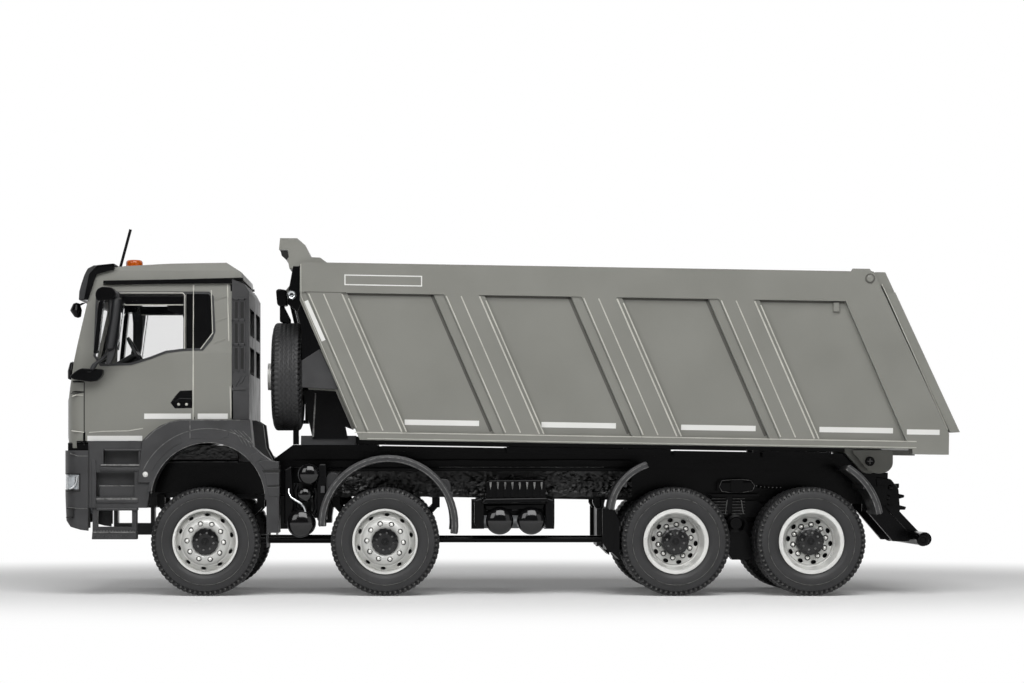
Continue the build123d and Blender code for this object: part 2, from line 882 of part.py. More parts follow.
def knuckle(x, side):
    def at(y):
        return side * (kingpin_y + y)

    with BuildPart() as body:
        with BuildSketch(Plane.XY.offset(axle_z - ear_outer)):
            with Locations((x, at(0))):
                Circle(ear_radius)
            with Locations((x, at(web_outer / 2))):
                Rectangle(2 * ear_radius, web_outer)
        extrude(amount=2 * ear_outer)
        with BuildSketch(Plane.XY.offset(axle_z - ear_inner)):
            with Locations((x, at(web_inner / 2 - 1))):
                Rectangle(4, web_inner + 2)
        extrude(amount=2 * ear_inner, mode=Mode.SUBTRACT)
        with BuildSketch(Plane.XY.offset(axle_z - ear_outer)):
            with Locations((x, at(0))):
                Circle(kingpin_radius)
        extrude(amount=2 * ear_outer)
        with BuildSketch(Plane(origin=(x, at(web_inner), axle_z), x_dir=(1, 0, 0), z_dir=(0, side, 0))):
            Circle(spindle_radius)
        extrude(amount=tyre_mid + 1.8 - kingpin_y - web_inner)
        # Steering arm with its ball pin
        with BuildSketch(Plane.XY.offset(arm_bottom)):
            with BuildLine():
                Polyline(
                    (x, at(-0.6)),
                    (x + arm_reach, at(-0.6)),
                    (x + arm_reach + 0.6, at(0)),
                    (x + arm_reach, at(0.6)),
                    (x, at(0.6)),
                    close=True,
                )
            make_face()
        extrude(amount=arm_top - arm_bottom)
        with BuildSketch(Plane.XY.offset(arm_bottom)):
            with Locations((x + arm_reach, at(0))):
                Circle(ball_radius)
        extrude(amount=-1.0)
    return body.part


for axle in ("1", "2"):
    for side_name, side in sides.items():
        finish(knuckle(axle_x[axle], side), "knuckle_" + axle + "_" + side_name)

# Track rods hang on the ball pins of the steering arms
rod_low = arm_bottom - 0.95
rod_high = arm_bottom - 0.05
for axle in ("1", "2"):
    with BuildPart() as tie_rod:
        with BuildSketch(Plane.XY.offset(rod_low)):
            with Locations((axle_x[axle] + arm_reach, 0)):
                Rectangle(2 * rod_half, 2 * kingpin_y)
                with Locations((0, kingpin_y), (0, -kingpin_y)):
                    Circle(0.75)
                    Circle(ball_radius + running_fit, mode=Mode.SUBTRACT)
        extrude(amount=rod_high - rod_low)
    finish(tie_rod.part, "tie_rod_" + axle)

# Axles: steering beams with driven housings, rear housings with drums
beam_radius = 1.15
housing_radius = 2.7
drum_radius = 4.0
with BuildPart() as axles:
    for axle in ("1", "2"):
        x = axle_x[axle]
        add(rod_along_y(x, axle_z, 0.9 - kingpin_y, kingpin_y - 0.9, beam_radius))
        with BuildSketch(Plane.XY.offset(axle_z - beam_end_half)):
            with Locations((x, kingpin_y), (x, -kingpin_y)):
                Circle(beam_end_radius)
        extrude(amount=2 * beam_end_half)
        with BuildSketch(Plane.XY.offset(axle_z - beam_end_half)):
            with Locations((x, kingpin_y), (x, -kingpin_y)):
                Circle(kingpin_radius + running_fit)
        extrude(amount=2 * beam_end_half, mode=Mode.SUBTRACT)
        with Locations((x, 0, axle_z)):
            Sphere(housing_radius)
    for axle in ("3", "4"):
        x = axle_x[axle]
        add(rod_along_y(x, axle_z, -dual_mid - 2.8, dual_mid + 2.8, spindle_radius))
        add(rod_along_y(x, axle_z, -11.0, 11.0, 1.7))
        add(rod_along_y(x, axle_z, 10.6, 14.2, drum_radius))
        add(rod_along_y(x, axle_z, -14.2, -10.6, drum_radius))
        with Locations((x, 0, axle_z)):
            Sphere(3.3)
finish(axles.part, "axles")

# Springs: front leaf packs with hangers under the rails, rear packs on the trunnion
spring_y = (6.2, 7.6)
rail_under = {}
for axle in ("1", "2"):
    rail_under[axle] = pivot_z + frame_bottom + (pivot_x - axle_x[axle]) * math.tan(slope)
bogie_x = (axle_x["3"] + axle_x["4"]) / 2
trunnion_z = 13.9
rear_pack_y = (8.2, 10.6)
with BuildPart() as leaf_springs:
    for axle in ("1", "2"):
        x = axle_x[axle]
        under = rail_under[axle] - 0.25
        with BuildSketch(level_view(spring_y[1])):
            with BuildLine() as pack:
                ThreePointArc((x - 10.5, 18.6), (x, 13.6), (x + 10.5, 18.6))
            trace(pack.line, line_width=1.3)
            with Locations((x, 12.9)):
                Rectangle(2.6, 2.2)
            with Locations((x - 10.5, (18.0 + under) / 2), (x + 10.5, (18.0 + under) / 2)):
                Rectangle(1.6, under - 18.0)
            with Locations((x, axle_z)):
                Circle(beam_radius + seat, mode=Mode.SUBTRACT)
        extrude(amount=spring_y[1] - spring_y[0])
    with BuildSketch(level_view(rear_pack_y[1])):
        with BuildLine():
            Polyline(
                (bogie_x - 12.6, 13.0),
                (bogie_x - 12.6, 14.6),
                (bogie_x - 4.0, 19.4),
                (bogie_x + 4.0, 19.4),
                (bogie_x + 12.6, 14.6),
                (bogie_x + 12.6, 13.0),
                (bogie_x + 5.0, 16.0),
                (bogie_x - 5.0, 16.0),
                close=True,
            )
        make_face()
        with Locations((bogie_x, trunnion_z)):
            Circle(2.4)
    extrude(amount=rear_pack_y[1] - rear_pack_y[0])
    mirror(about=Plane.XZ)
    add(rod_along_y(bogie_x, trunnion_z, -rear_pack_y[1], rear_pack_y[1], 1.5))
    with BuildSketch(level_view(8.2)):
        with Locations((bogie_x, 16.9)):
            Rectangle(8.0, 4.0)
    extrude(amount=0.6)
    with BuildSketch(level_view(-7.6)):
        with Locations((bogie_x, 16.9)):
            Rectangle(8.0, 4.0)
    extrude(amount=0.6)
finish(leaf_springs.part, "leaf_springs")

# Shafts between the housings, split at the transfer box
shaft_radius = 0.75
with BuildPart() as prop_shafts:
    add(rod_along_x(axle_x["1"] + housing_radius, axle_x["2"] - housing_radius, 0, axle_z, 0.9))
    add(rod_along_x(axle_x["2"] + housing_radius, axle_x["3"] - 3.3, 0, axle_z, shaft_radius))
    add(rod_along_x(axle_x["3"] + 3.3, axle_x["4"] - 3.3, 0, axle_z, shaft_radius))
    for x in axle_x.values():
        with Locations((x, 0, axle_z)):
            Sphere(2.7 if x < 0 else 3.3, mode=Mode.SUBTRACT)
finish(prop_shafts.part, "prop_shafts")

# Tipping body, in raked coordinates round the tipping pivot
slant = math.tan(math.radians(bed_slant))
rear_lean = math.tan(math.radians(rear_slant))
knee_u = bed_front + 0.1
front_low_u = knee_u + (knee - bed_bottom) * slant


def front_u(w):
    """Front outline of the bed at height w below the knee."""
    return knee_u + (knee - w) * slant


def rear_u(w):
    """Rear edge of the bed's sides at height w."""
    return rear_top_u + (rear_top_w - w) * rear_lean


def leaning_band(u_top, width):
    """A band that leans like the ribs and enters both rails; u_top is its front edge at the top."""
    w_low = rail_low_top - 0.5
    w_high = rail_top_low + 0.5
    shift = (w_high - w_low) * slant
    return [
        (u_top, w_high),
        (u_top + width, w_high),
        (u_top + width + shift, w_low),
        (u_top + shift, w_low),
    ]


side_outline = [
    (bed_front, bed_top),
    (knee_u, knee),
    (front_low_u, bed_bottom),
    (6.8, bed_bottom),
    (6.8, sill_bottom),
    (rear_low_u, sill_bottom),
    (rear_low_u, rear_low_w),
    (rear_top_u, rear_top_w),
    (rear_u(bed_top), bed_top),
]
inner_y = bed_half - rib_depth - bed_wall
pocket_low = 35.4
pocket_front = -4.9
rail_end = -6.65
post_front = -7.6
rib_tops = [rib_first + count * rib_pitch for count in range(4)]
rails = [
    block(bed_front - 1, rear_low_u + 1, rail_top_low, bed_top + 1),
    block(bed_front - 1, rear_low_u + 1, sill_bottom - 1, rail_low_top),
]
crests = [leaning_band(start + rib_shoulder, rib_crest) for start in rib_tops]
proud_layers = [
    (bed_half, rib_depth, rails + crests + [leaning_band(post_front, 30)]),
    (bed_half - rib_step, rib_depth - rib_step, [leaning_band(start, rib_width) for start in rib_tops]),
]


def bed_side(side):
    with BuildPart() as wall:
        # Panel between the ribs
        with BuildSketch(raked_view(bed_half - rib_depth)):
            with BuildLine():
                Polyline(*side_outline, close=True)
            make_face()
        extrude(amount=bed_wall)
        # Rails, rear post and rib crests stand proud of the panel, rib shoulders a little less
        for outer, depth, outlines in proud_layers:
            with BuildSketch(raked_view(outer)):
                with BuildLine():
                    Polyline(*side_outline, close=True)
                make_face()
                with BuildSketch(raked_view(outer), mode=Mode.INTERSECT):
                    for outline in outlines:
                        with BuildLine():
                            Polyline(*outline, close=True)
                        make_face()
            extrude(amount=depth)
        # Pocket behind the cheek plate for the tailgate's arm
        with BuildSketch(raked_view(bed_half - cheek)):
            with BuildLine():
                Polyline(*block(pocket_front, 5, pocket_low, bed_top + 2), close=True)
            make_face()
        extrude(amount=5, mode=Mode.SUBTRACT)
        # Raised cheek round the gate pin, and the pin itself
        with BuildSketch(raked_view(bed_half)):
            with BuildLine():
                Polyline(
                    (rail_end, bed_top - 0.5),
                    (rail_end + 0.6, bed_top + 0.55),
                    (-2.6, bed_top + 0.55),
                    (-1.75, bed_top - 0.5),
                    close=True,
                )
            make_face()
        extrude(amount=cheek)
        with BuildSketch(raked_view(bed_half)):
            with Locations((gate_pin_u, gate_pin_w)):
                Circle(gate_pin_radius)
        extrude(amount=cheek + arm_thick + 0.3)
        if side < 0:
            mirror(about=Plane.XZ, mode=Mode.REPLACE)
    return wall.part


finish(bed_side(-1), "bed_side_left")
finish(bed_side(1), "bed_side_right")

# Front wall with the cab guard, the cylinder's ears and the wedge shelf behind the spare wheel
guard_outline = [
    (-123.6, 43.76),
    (-120.1, 43.8),
    (-118.4, 42.4),
    (-117.2, 39.96),
    (-115.3, 39.9),
    (-113.9, bed_top + 0.05),
    (bed_front + 1.2, bed_top + 0.05),
    (bed_front, bed_top + 0.05),
    (bed_front, 37.4),
    (-121.6, 37.6),
    (-121.9, 39.1),
    (-121.9, 41.3),
    (-123.8, 41.45),
]
ear_outline = [
    (bed_front + 0.2, 37.4),
    (-120.8, 37.3),
    (top_u - 1.5, top_w + 0.8),
    (top_u - 1.5, top_w - 0.8),
    (top_u - 0.6, top_w - 1.7),
    (front_u(28.0) + 0.3, 28.0),
]
wedge_outline = [
    (front_u(17.6) + 0.2, 17.6),
    (front_u(20.6) + 0.2, 20.6),
    (-117.5, 17.5),
    (-117.5, 12.9),
    (front_u(12.6) + 0.2, 12.6),
]
with BuildPart() as bed_front_wall:
    with BuildSketch(raked_view(inner_y - seat)):
        with BuildLine():
            Polyline(
                (bed_front, bed_top + 0.2),
                (knee_u, knee),
                (front_low_u, bed_bottom),
                (front_low_u + 1.2, bed_bottom),
                (knee_u + 1.2, knee),
                (bed_front + 1.2, bed_top + 0.2),
                close=True,
            )
        make_face()
    extrude(amount=2 * (inner_y - seat))
    with BuildSketch(raked_view(bed_half - 1.0)):
        with BuildLine():
            Polyline(*guard_outline, close=True)
        make_face()
    extrude(amount=2 * (bed_half - 1.0))
    add(raked_bar(ear_outline, ear_gap, ear_gap + ear_thick))
    with BuildSketch(raked_view(ear_gap + ear_thick + 0.5)):
        with Locations((top_u, top_w)):
            Circle(top_pin_radius)
    extrude(amount=ear_thick + 0.7)
    with BuildSketch(raked_view(-ear_gap + 0.2)):
        with Locations((top_u, top_w)):
            Circle(top_pin_radius)
    extrude(amount=ear_thick + 0.7)
    add(raked_bar(wedge_outline, 5.5, 19.0))
finish(bed_front_wall.part, "bed_front_wall")

# Floor with its rear sill, pads on the subframe, and the hinge lugs
pads = [(-105.0, -103.0), (-75.6, -57.0), (-50.5, -41.5), (-24.0, -20.3)]
floor_top = bed_bottom + floor_thick
floor_front = front_low_u + 1.2 - floor_thick * slant + seat
lug_inner = 8.2
with BuildPart() as bed_floor:
    with BuildSketch(raked_view(inner_y - seat)):
        with BuildLine():
            Polyline(
                (floor_front + floor_thick * slant, bed_bottom),
                (rear_low_u, bed_bottom),
                (rear_low_u, rear_low_w - 0.6),
                (rear_low_u - 1.4, floor_top),
                (floor_front, floor_top),
                close=True,
            )
        make_face()
    extrude(amount=2 * (inner_y - seat))
    for start, end in pads:
        add(raked_bar(block(start, end, subframe_top + seat, bed_bottom), 5.4, subframe_half))
    add(raked_bar(block(6.8, rear_low_u, sill_bottom, bed_bottom), 20, inner_y - seat))
    with BuildSketch(raked_view(lug_inner + lug_thick)):
        with BuildLine():
            Polyline(
                (-6.0, bed_bottom),
                (lug_radius, bed_bottom),
                (lug_radius, 0),
                (-1.81, -1.81),
                close=True,
            )
        make_face()
        Circle(lug_radius)
        Circle(pivot_pin_radius + running_fit, mode=Mode.SUBTRACT)
    extrude(amount=lug_thick)
    mirror(about=Plane.XZ)
finish(bed_floor.part, "bed_floor")

# Tailgate: slanted plate with stiffeners, hung on two arms
gate_top = 38.8


def gate_band(inner, outer, w_low, w_high):
    """A slice of the gate between two distances behind the sides' rear edge."""
    return [
        (rear_u(w_low) + inner, w_low),
        (rear_u(w_high) + inner, w_high),
        (rear_u(w_high) + outer, w_high),
        (rear_u(w_low) + outer, w_low),
    ]


gate_low = 6.2
with BuildPart() as tailgate:
    add(raked_bar(gate_band(gate_gap, gate_gap + 1.0, gate_low, gate_top), 0, bed_half))
    # Frame and posts on the outside
    for w_low, w_high in [(gate_low, 9.0), (21.0, 23.6), (36.0, gate_top)]:
        add(raked_bar(gate_band(gate_gap, gate_gap + gate_thick, w_low, w_high), 0, bed_half))
    for y in (8.4, 23.6):
        add(raked_bar(gate_band(gate_gap, gate_gap + gate_thick, gate_low, gate_top), y - 1.4, y + 1.4))
    # Top corners pass inside the cheek plates
    with BuildSketch(Plane(origin=raked_side.from_local_coords((0, 34.6)), z_dir=(0, 0, 1))):
        with Locations((0, bed_half), (0, -bed_half)):
            Rectangle(16, 2 * (cheek + 0.1))
    extrude(amount=6, mode=Mode.SUBTRACT)
    # Arms from the plate forward to the pins
    with BuildSketch(raked_view(bed_half - cheek - 0.1)):
        with Locations((gate_pin_u, gate_pin_w)):
            Circle(1.5)
        with BuildLine():
            Polyline(
                (gate_pin_u, gate_pin_w + 1.2),
                (rear_u(gate_top - 0.1) + gate_gap + 0.3, gate_top - 0.1),
                (rear_u(36.0) + gate_gap + 0.3, 36.0),
                (gate_pin_u, gate_pin_w - 1.2),
                close=True,
            )
        make_face()
        with Locations((gate_pin_u, gate_pin_w)):
            Circle(gate_pin_radius + running_fit, mode=Mode.SUBTRACT)
    extrude(amount=arm_thick)
    mirror(about=Plane.XZ)
finish(tailgate.part, "tailgate")

# Telescopic tipping cylinder: nested tubes along the line from the base trunnion to the top pin
closed_length = math.hypot(top_u - base_u, top_w - base_w)
foot = raked_side.from_local_coords((base_u, base_w, 0))
head = raked_side.from_local_coords((top_u, top_w, 0))
cylinder_plane = Plane(origin=foot, x_dir=(0, 1, 0), z_dir=head - foot)
tube_floor = 0.5


def tube(outer, inner, low, high):
    """A tube closed at its foot, between two distances from the trunnion."""
    with BuildPart() as body:
        with BuildSketch(cylinder_plane.offset(low)):
            Circle(outer)
        extrude(amount=high - low)
        if inner:
            with BuildSketch(cylinder_plane.offset(low + tube_floor)):
                Circle(inner)
            extrude(amount=high - low, mode=Mode.SUBTRACT)
    return body.part


with BuildPart() as cylinder_barrel:
    add(tube(barrel_radius, 0, -barrel_below, barrel_above))
    with BuildSketch(raked_side):
        with Locations((base_u, base_w)):
            Circle(trunnion_radius)
    extrude(amount=subframe_half - 0.3, both=True)
    with BuildSketch(cylinder_plane.offset(tube_floor - barrel_below)):
        Circle(barrel_radius - barrel_wall)
    extrude(amount=80, mode=Mode.SUBTRACT)
finish(cylinder_barrel.part, "cylinder_barrel")
stage_outer = barrel_radius - barrel_wall - running_fit
for name, low, high in [
    ("cylinder_stage_1", 0.6 - barrel_below, barrel_above + stage_step + 0.3),
    ("cylinder_stage_2", 1.2 - barrel_below, barrel_above + 2 * stage_step + 0.6),
]:
    finish(tube(stage_outer, stage_outer - barrel_wall, low, high), name)
    stage_outer -= barrel_wall + running_fit
with BuildPart() as cylinder_rod:
    add(tube(stage_outer, 0, 1.8 - barrel_below, closed_length - eye_radius + 0.5))
    with BuildSketch(raked_view(eye_half)):
        with Locations((top_u, top_w)):
            Circle(eye_radius)
    extrude(amount=2 * eye_half)
finish(cylinder_rod.part, "cylinder_rod")

# Air tanks on the left between the first two axles, and the silencer on the right
with BuildPart() as air_tanks:
    for x, z, radius, y_low in [(-41.6, 25.0, 2.05, 7.65), (-43.1, 14.7, 2.7, 9.0)]:
        add(rod_along_y(x, z, -23.5, -y_low, radius))
    add(level_bar(block(-45.0, -41.2, 17.2, 23.1), -12.0, -7.65, both_sides=False))
finish(air_tanks.part, "air_tanks")
finish(level_bar(block(-46.5, -40.0, 15.5, 26.5), 7.65, 23.0, both_sides=False), "silencer")

# Battery box with two round tanks below it, on the left rail
with BuildPart() as battery_box:
    for outline, y_low, y_high in [
        (block(-4.4, 6.9, 19.7, 23.9), -22.0, -7.65),
        (block(-5.6, 8.0, 18.9, 19.8), -23.0, -7.65),
        (block(-7.8, -5.2, 13.6, 19.8), -14.0, -9.0),
        (block(7.4, 9.4, 13.6, 19.8), -14.0, -9.0),
        (block(-7.8, 9.4, 16.4, 18.95), -14.0, -9.0),
    ]:
        add(level_bar(outline, y_low, y_high, both_sides=False))
    for x in (-2.0, 4.3):
        add(rod_along_y(x, 15.2, -23.6, -9.0, 2.56))
finish(battery_box.part, "battery_box")

# Fuel tank on the right rail
with BuildPart() as fuel_tank:
    with BuildSketch(Plane.YZ.offset(-6.5)):
        with Locations((16.5, 19.0)):
            RectangleRounded(12.0, 11.6, 2.2)
    extrude(amount=17.0)
    add(level_bar(block(-5.0, -3.4, 20.5, 24.0), 7.65, 11.0, both_sides=False))
    add(level_bar(block(7.4, 9.0, 20.5, 24.0), 7.65, 11.0, both_sides=False))
finish(fuel_tank.part, "fuel_tank")

# Hydraulic oil tank beside the cylinder, on its bracket
with BuildPart() as oil_tank:
    add(level_bar([(-40.7, 33.0), (-39.7, 41.8), (-35.8, 41.8), (-34.4, 33.0)], -17.0, -7.9, both_sides=False))
    add(level_bar(block(-43.2, -31.9, 31.1, 33.0), -17.0, -7.35, both_sides=False))
finish(oil_tank.part, "oil_tank")

# Spare wheel upright behind the cab: its disc faces forward, its carrier stands on the subframe
spare_plane = Plane(origin=(spare_x, spare_y, spare_z), x_dir=(0, 0, 1), z_dir=(0, -1, 0))
spare_rim_outline = [
    (0, 4.2),
    (hub_radius, 4.2),
    (hub_radius, 3.2),
    (4.75, 3.1),
    (5.75, 1.05),
    (5.95, flange_outer),
    (rim_radius, flange_outer),
    (rim_radius, flange_inner),
    (bead_radius, bead_half),
    (bead_radius, -bead_half),
    (rim_radius, -flange_inner),
    (rim_radius, -flange_outer),
    (5.95, -flange_outer),
    (5.75, 0.4),
    (4.5, 2.3),
    (nave_radius, 2.4),
    (nave_radius, 0.2),
    (hub_bore, 0.2),
    (hub_bore, 2.4),
    (0, 2.4),
]
finish(turned(spare_plane, spare_rim_outline), "spare_rim")
finish(turned(spare_plane, tyre_outline(0)), "spare_tyre")
plate_front = spare_x + tyre_width / 2 + 0.15
plate_back = plate_front + 0.7
with BuildPart() as spare_carrier:
    for outline, y_low in [
        (block(-45.3, -44.1, 31.25, 36.4), -7.2),
        (block(-45.3, plate_back, 35.6, 36.4), -7.2),
        (block(plate_front, plate_back, 35.6, 46.8), -9.0),
        (block(plate_front, plate_back, 43.8, 46.8), -16.0),
    ]:
        add(level_bar(outline, y_low, -5.5, both_sides=False))
    add(rod_along_x(spare_x - 1.2, plate_back, spare_y, spare_z, spindle_radius))
finish(spare_carrier.part, "spare_carrier")

# Underrun bar: a tube on two arms below the frame's tail
bar_x = 85.2
bar_z = 11.7
with BuildPart() as underrun_bar:
    add(rod_along_y(bar_x, bar_z, -23.5, 23.5, 1.4))
    add(level_bar([(74.4, 18.3), (78.6, 18.3), (84.2, 12.6), (84.2, 10.9), (80.8, 10.9)], 7.7, 9.3))
    add(level_bar([(79.0, 18.4), (81.0, 18.4), (86.2, 12.9), (84.6, 12.2)], 7.7, 9.3))
    add(level_bar(block(74.4, 79.6, 17.2, 22.5), 7.65, 8.3))
finish(underrun_bar.part, "underrun_bar")

# Tow jaw on the rear crossmember, with a vertical pin hole
jaw_z = 20.4
jaw_foot = 79.7
jaw_reach = 83.0
with BuildPart() as tow_jaw:
    with BuildSketch(level_view(3.0)):
        with BuildLine():
            Polyline(
                (jaw_foot, jaw_z - 2.2),
                (jaw_reach, jaw_z - 2.8),
                (jaw_reach, jaw_z - 1.7),
                (81.2, jaw_z - 1.2),
                (81.2, jaw_z + 1.2),
                (jaw_reach, jaw_z + 1.7),
                (jaw_reach, jaw_z + 2.6),
                (jaw_foot, jaw_z + 2.2),
                close=True,
            )
        make_face()
    extrude(amount=6.0)
    with BuildSketch(Plane.XY.offset(jaw_z - 4)):
        with Locations((82.1, 0)):
            Circle(0.5)
    extrude(amount=8, mode=Mode.SUBTRACT)
finish(tow_jaw.part, "tow_jaw")
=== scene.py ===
import math

import bmesh
import bpy
import numpy as np
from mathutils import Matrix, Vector


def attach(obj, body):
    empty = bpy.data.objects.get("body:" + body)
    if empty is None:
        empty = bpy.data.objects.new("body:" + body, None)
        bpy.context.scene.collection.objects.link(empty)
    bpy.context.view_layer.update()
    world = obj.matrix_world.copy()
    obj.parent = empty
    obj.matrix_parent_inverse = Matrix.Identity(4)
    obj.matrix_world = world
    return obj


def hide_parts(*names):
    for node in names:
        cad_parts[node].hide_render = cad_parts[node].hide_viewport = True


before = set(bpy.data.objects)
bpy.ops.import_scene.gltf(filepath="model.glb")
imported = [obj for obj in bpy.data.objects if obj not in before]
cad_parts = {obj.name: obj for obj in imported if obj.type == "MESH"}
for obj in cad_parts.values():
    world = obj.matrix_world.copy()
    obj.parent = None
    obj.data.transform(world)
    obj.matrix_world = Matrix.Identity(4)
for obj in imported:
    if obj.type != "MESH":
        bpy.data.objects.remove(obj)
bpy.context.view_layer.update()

# Ladder frame, tipper subframe and running gear
# Die-cast and moulded parts of the underbody, in one gloss black: cast rails, a subframe on them,
# axle beams with springs, and shafts. The black is bare moulded ABS with a light moulding haze.


def linear(code):
    """An sRGB hex colour as linear red, green, blue and alpha."""
    values = np.array([int(code[i : i + 2], 16) for i in (1, 3, 5)]) / 255
    values = np.where(values > 0.04045, ((values + 0.055) / 1.055) ** 2.4, values / 12.92)
    return (*values, 1.0)


def add_node(tree, kind, values=(), links=(), **settings):
    """Adds a node: settings are its own properties, values fill its inputs, and links feed them, each
    from a socket or from a node's first output."""
    node = tree.nodes.new(kind)
    for key, value in settings.items():
        setattr(node, key, value)
    for key, value in dict(values).items():
        node.inputs[key].default_value = value
    for key, source in dict(links).items():
        socket = source if isinstance(source, bpy.types.NodeSocket) else source.outputs[0]
        tree.links.new(socket, node.inputs[key])
    return node


def new_material(name):
    """An empty material, its node tree, and the Object coordinates that its textures read."""
    material = bpy.data.materials.new(name)
    material.use_nodes = True
    tree = material.node_tree
    tree.nodes.clear()
    return material, tree, add_node(tree, "ShaderNodeTexCoord").outputs["Object"]


def skin(name, code, roughness, grain_mm, relief_mm, mottle=0.12, drift_mm=9.0, **shader):
    """A painted or moulded skin. Its colour drifts over drift_mm and its gloss with it; the bump is a
    grain of grain_mm that stands relief_mm high. Further names are shader inputs, with _ for a space."""
    material, tree, place = new_material(name)
    drift = add_node(tree, "ShaderNodeTexNoise", {"Scale": 1000 / drift_mm, "Detail": 3}, {"Vector": place})
    grain = add_node(tree, "ShaderNodeTexNoise", {"Scale": 1000 / grain_mm, "Detail": 2}, {"Vector": place})
    base = np.array(linear(code)[:3])
    tint = add_node(tree, "ShaderNodeValToRGB", links={"Fac": drift})
    for element, position, gain in zip(tint.color_ramp.elements, (0.3, 0.7), (1 - mottle, 1 + mottle)):
        element.position = position
        element.color = (*np.minimum(base * gain, 1), 1)
    gloss_range = {"From Min": 0.3, "From Max": 0.7, "To Min": roughness * 0.85, "To Max": roughness * 1.15}
    gloss = add_node(tree, "ShaderNodeMapRange", gloss_range, {"Value": drift})
    height = {"Strength": 0.6, "Distance": relief_mm / 1000}
    bump = add_node(tree, "ShaderNodeBump", height, {"Height": grain})
    inputs = {"Base Color": tint, "Roughness": gloss, "Normal": bump}
    values = {key.replace("_", " "): value for key, value in shader.items()}
    shade = add_node(tree, "ShaderNodeBsdfPrincipled", values, inputs)
    add_node(tree, "ShaderNodeOutputMaterial", links={"Surface": shade})
    return material


def give(material, *nodes):
    """A CAD node keeps its shape and takes this material in all its slots."""
    for node in nodes:
        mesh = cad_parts[node].data
        if not mesh.materials:
            mesh.materials.append(material)
        for index in range(len(mesh.materials)):
            mesh.materials[index] = material


# Gloss black ABS: near-black, mirror-like at a glance, with a faint orange peel
black_abs = skin("gloss_black_abs", "#040405", 0.22, 1.6, 0.01, IOR=1.5, Specular_IOR_Level=0.16)
# The same black cast on the body's outer skins, where handling has dulled it to a satin
satin_black = skin(
    "satin_black_abs", "#343435", 0.42, 0.5, 0.02, mottle=0.16, drift_mm=4.0, IOR=1.5,
    Specular_IOR_Level=0.35,
)
# Cast skins on the frame's sides and the arch linings: a coarse crinkle that glints
crinkle_black = skin("crinkle_cast_black", "#060606", 0.3, 1.1, 0.35, IOR=1.5)
# Grey painted highlights on black edges and treads, glinting in specks
glint_grey = skin("painted_highlight_grey_edges", "#5c5c5b", 0.4, 0.3, 0.05, mottle=0.7, drift_mm=0.7, IOR=1.5)
# The same plastic without polish, where moulds leave a fine spark-eroded grain
dark_abs = skin("grained_black_abs", "#17181a", 0.45, 0.35, 0.02, IOR=1.53)
give(
    black_abs, "frame_rails", "subframe", "spare_carrier", "underrun_bar", "axles", "leaf_springs",
    "battery_box", "tow_jaw", "knuckle_1_left", "knuckle_1_right", "knuckle_2_left", "knuckle_2_right",
    "tie_rod_1", "tie_rod_2", "prop_shafts",
)
give(satin_black, "bumper", "cab_steps", "fenders", "rear_stack")
give(dark_abs, "engine_block", "cab_interior", "silencer", "air_tanks", "oil_tank", "grille", "mirrors")
give(black_abs, "cab_trim")

# Tyres
# Soft PVC tyres moulded in one piece each, with block tread and ringed side walls. Twins share a rim.
axle_x = {"1": -62.6, "2": -25.7, "3": 34.0, "4": 61.8}
axle_z = tyre_radius = 11.2
lugs = 63
tyre_mid = {"1": [21.85], "2": [21.85], "3": [14.85, 21.85], "4": [14.85, 21.85]}
tyre_section = [
    (6.3, -2.5), (6.78, -2.62), (7.1, -2.92), (7.8, -3.08), (8.8, -3.12), (8.88, -3.2), (8.98, -3.2),
    (9.06, -3.1), (9.7, -3.06), (10.15, -2.98), (10.3, -2.92), (10.65, -2.78), (10.95, -2.6), (11.15, -2.35),
    (tyre_radius, -2.1),
]
box_faces = [(0, 1, 2, 3), (7, 6, 5, 4), (0, 4, 5, 1), (1, 5, 6, 2), (2, 6, 7, 3), (3, 7, 4, 0)]


def shape_joined(*shapes):
    """Several point and face lists as one."""
    points = []
    faces = []
    for some_points, some_faces in shapes:
        faces += [tuple(i + sum(len(p) for p in points) for i in face) for face in some_faces]
        points.append(np.asarray(some_points, float))
    return np.concatenate(points), faces


def grid_faces(rows, columns, wrap_rows=False, wrap_columns=False):
    """Quads between neighbouring points of a rows by columns grid, joined end to start where wrapped."""
    row = np.arange(rows if wrap_rows else rows - 1)
    column = np.arange(columns if wrap_columns else columns - 1)
    row, column = (a.ravel() for a in np.meshgrid(row, column, indexing="ij"))
    after = (row + 1) % rows
    beside = (column + 1) % columns
    quads = np.stack([
        row * columns + column, row * columns + beside, after * columns + beside, after * columns + column,
    ], 1)
    return [tuple(q) for q in quads.tolist()]


def circle(count):
    """Angles spread evenly over a full turn."""
    return np.arange(count) * 2 * np.pi / count


def unit(vectors):
    """The same directions at length one."""
    return vectors / np.linalg.norm(vectors, axis=-1, keepdims=True)


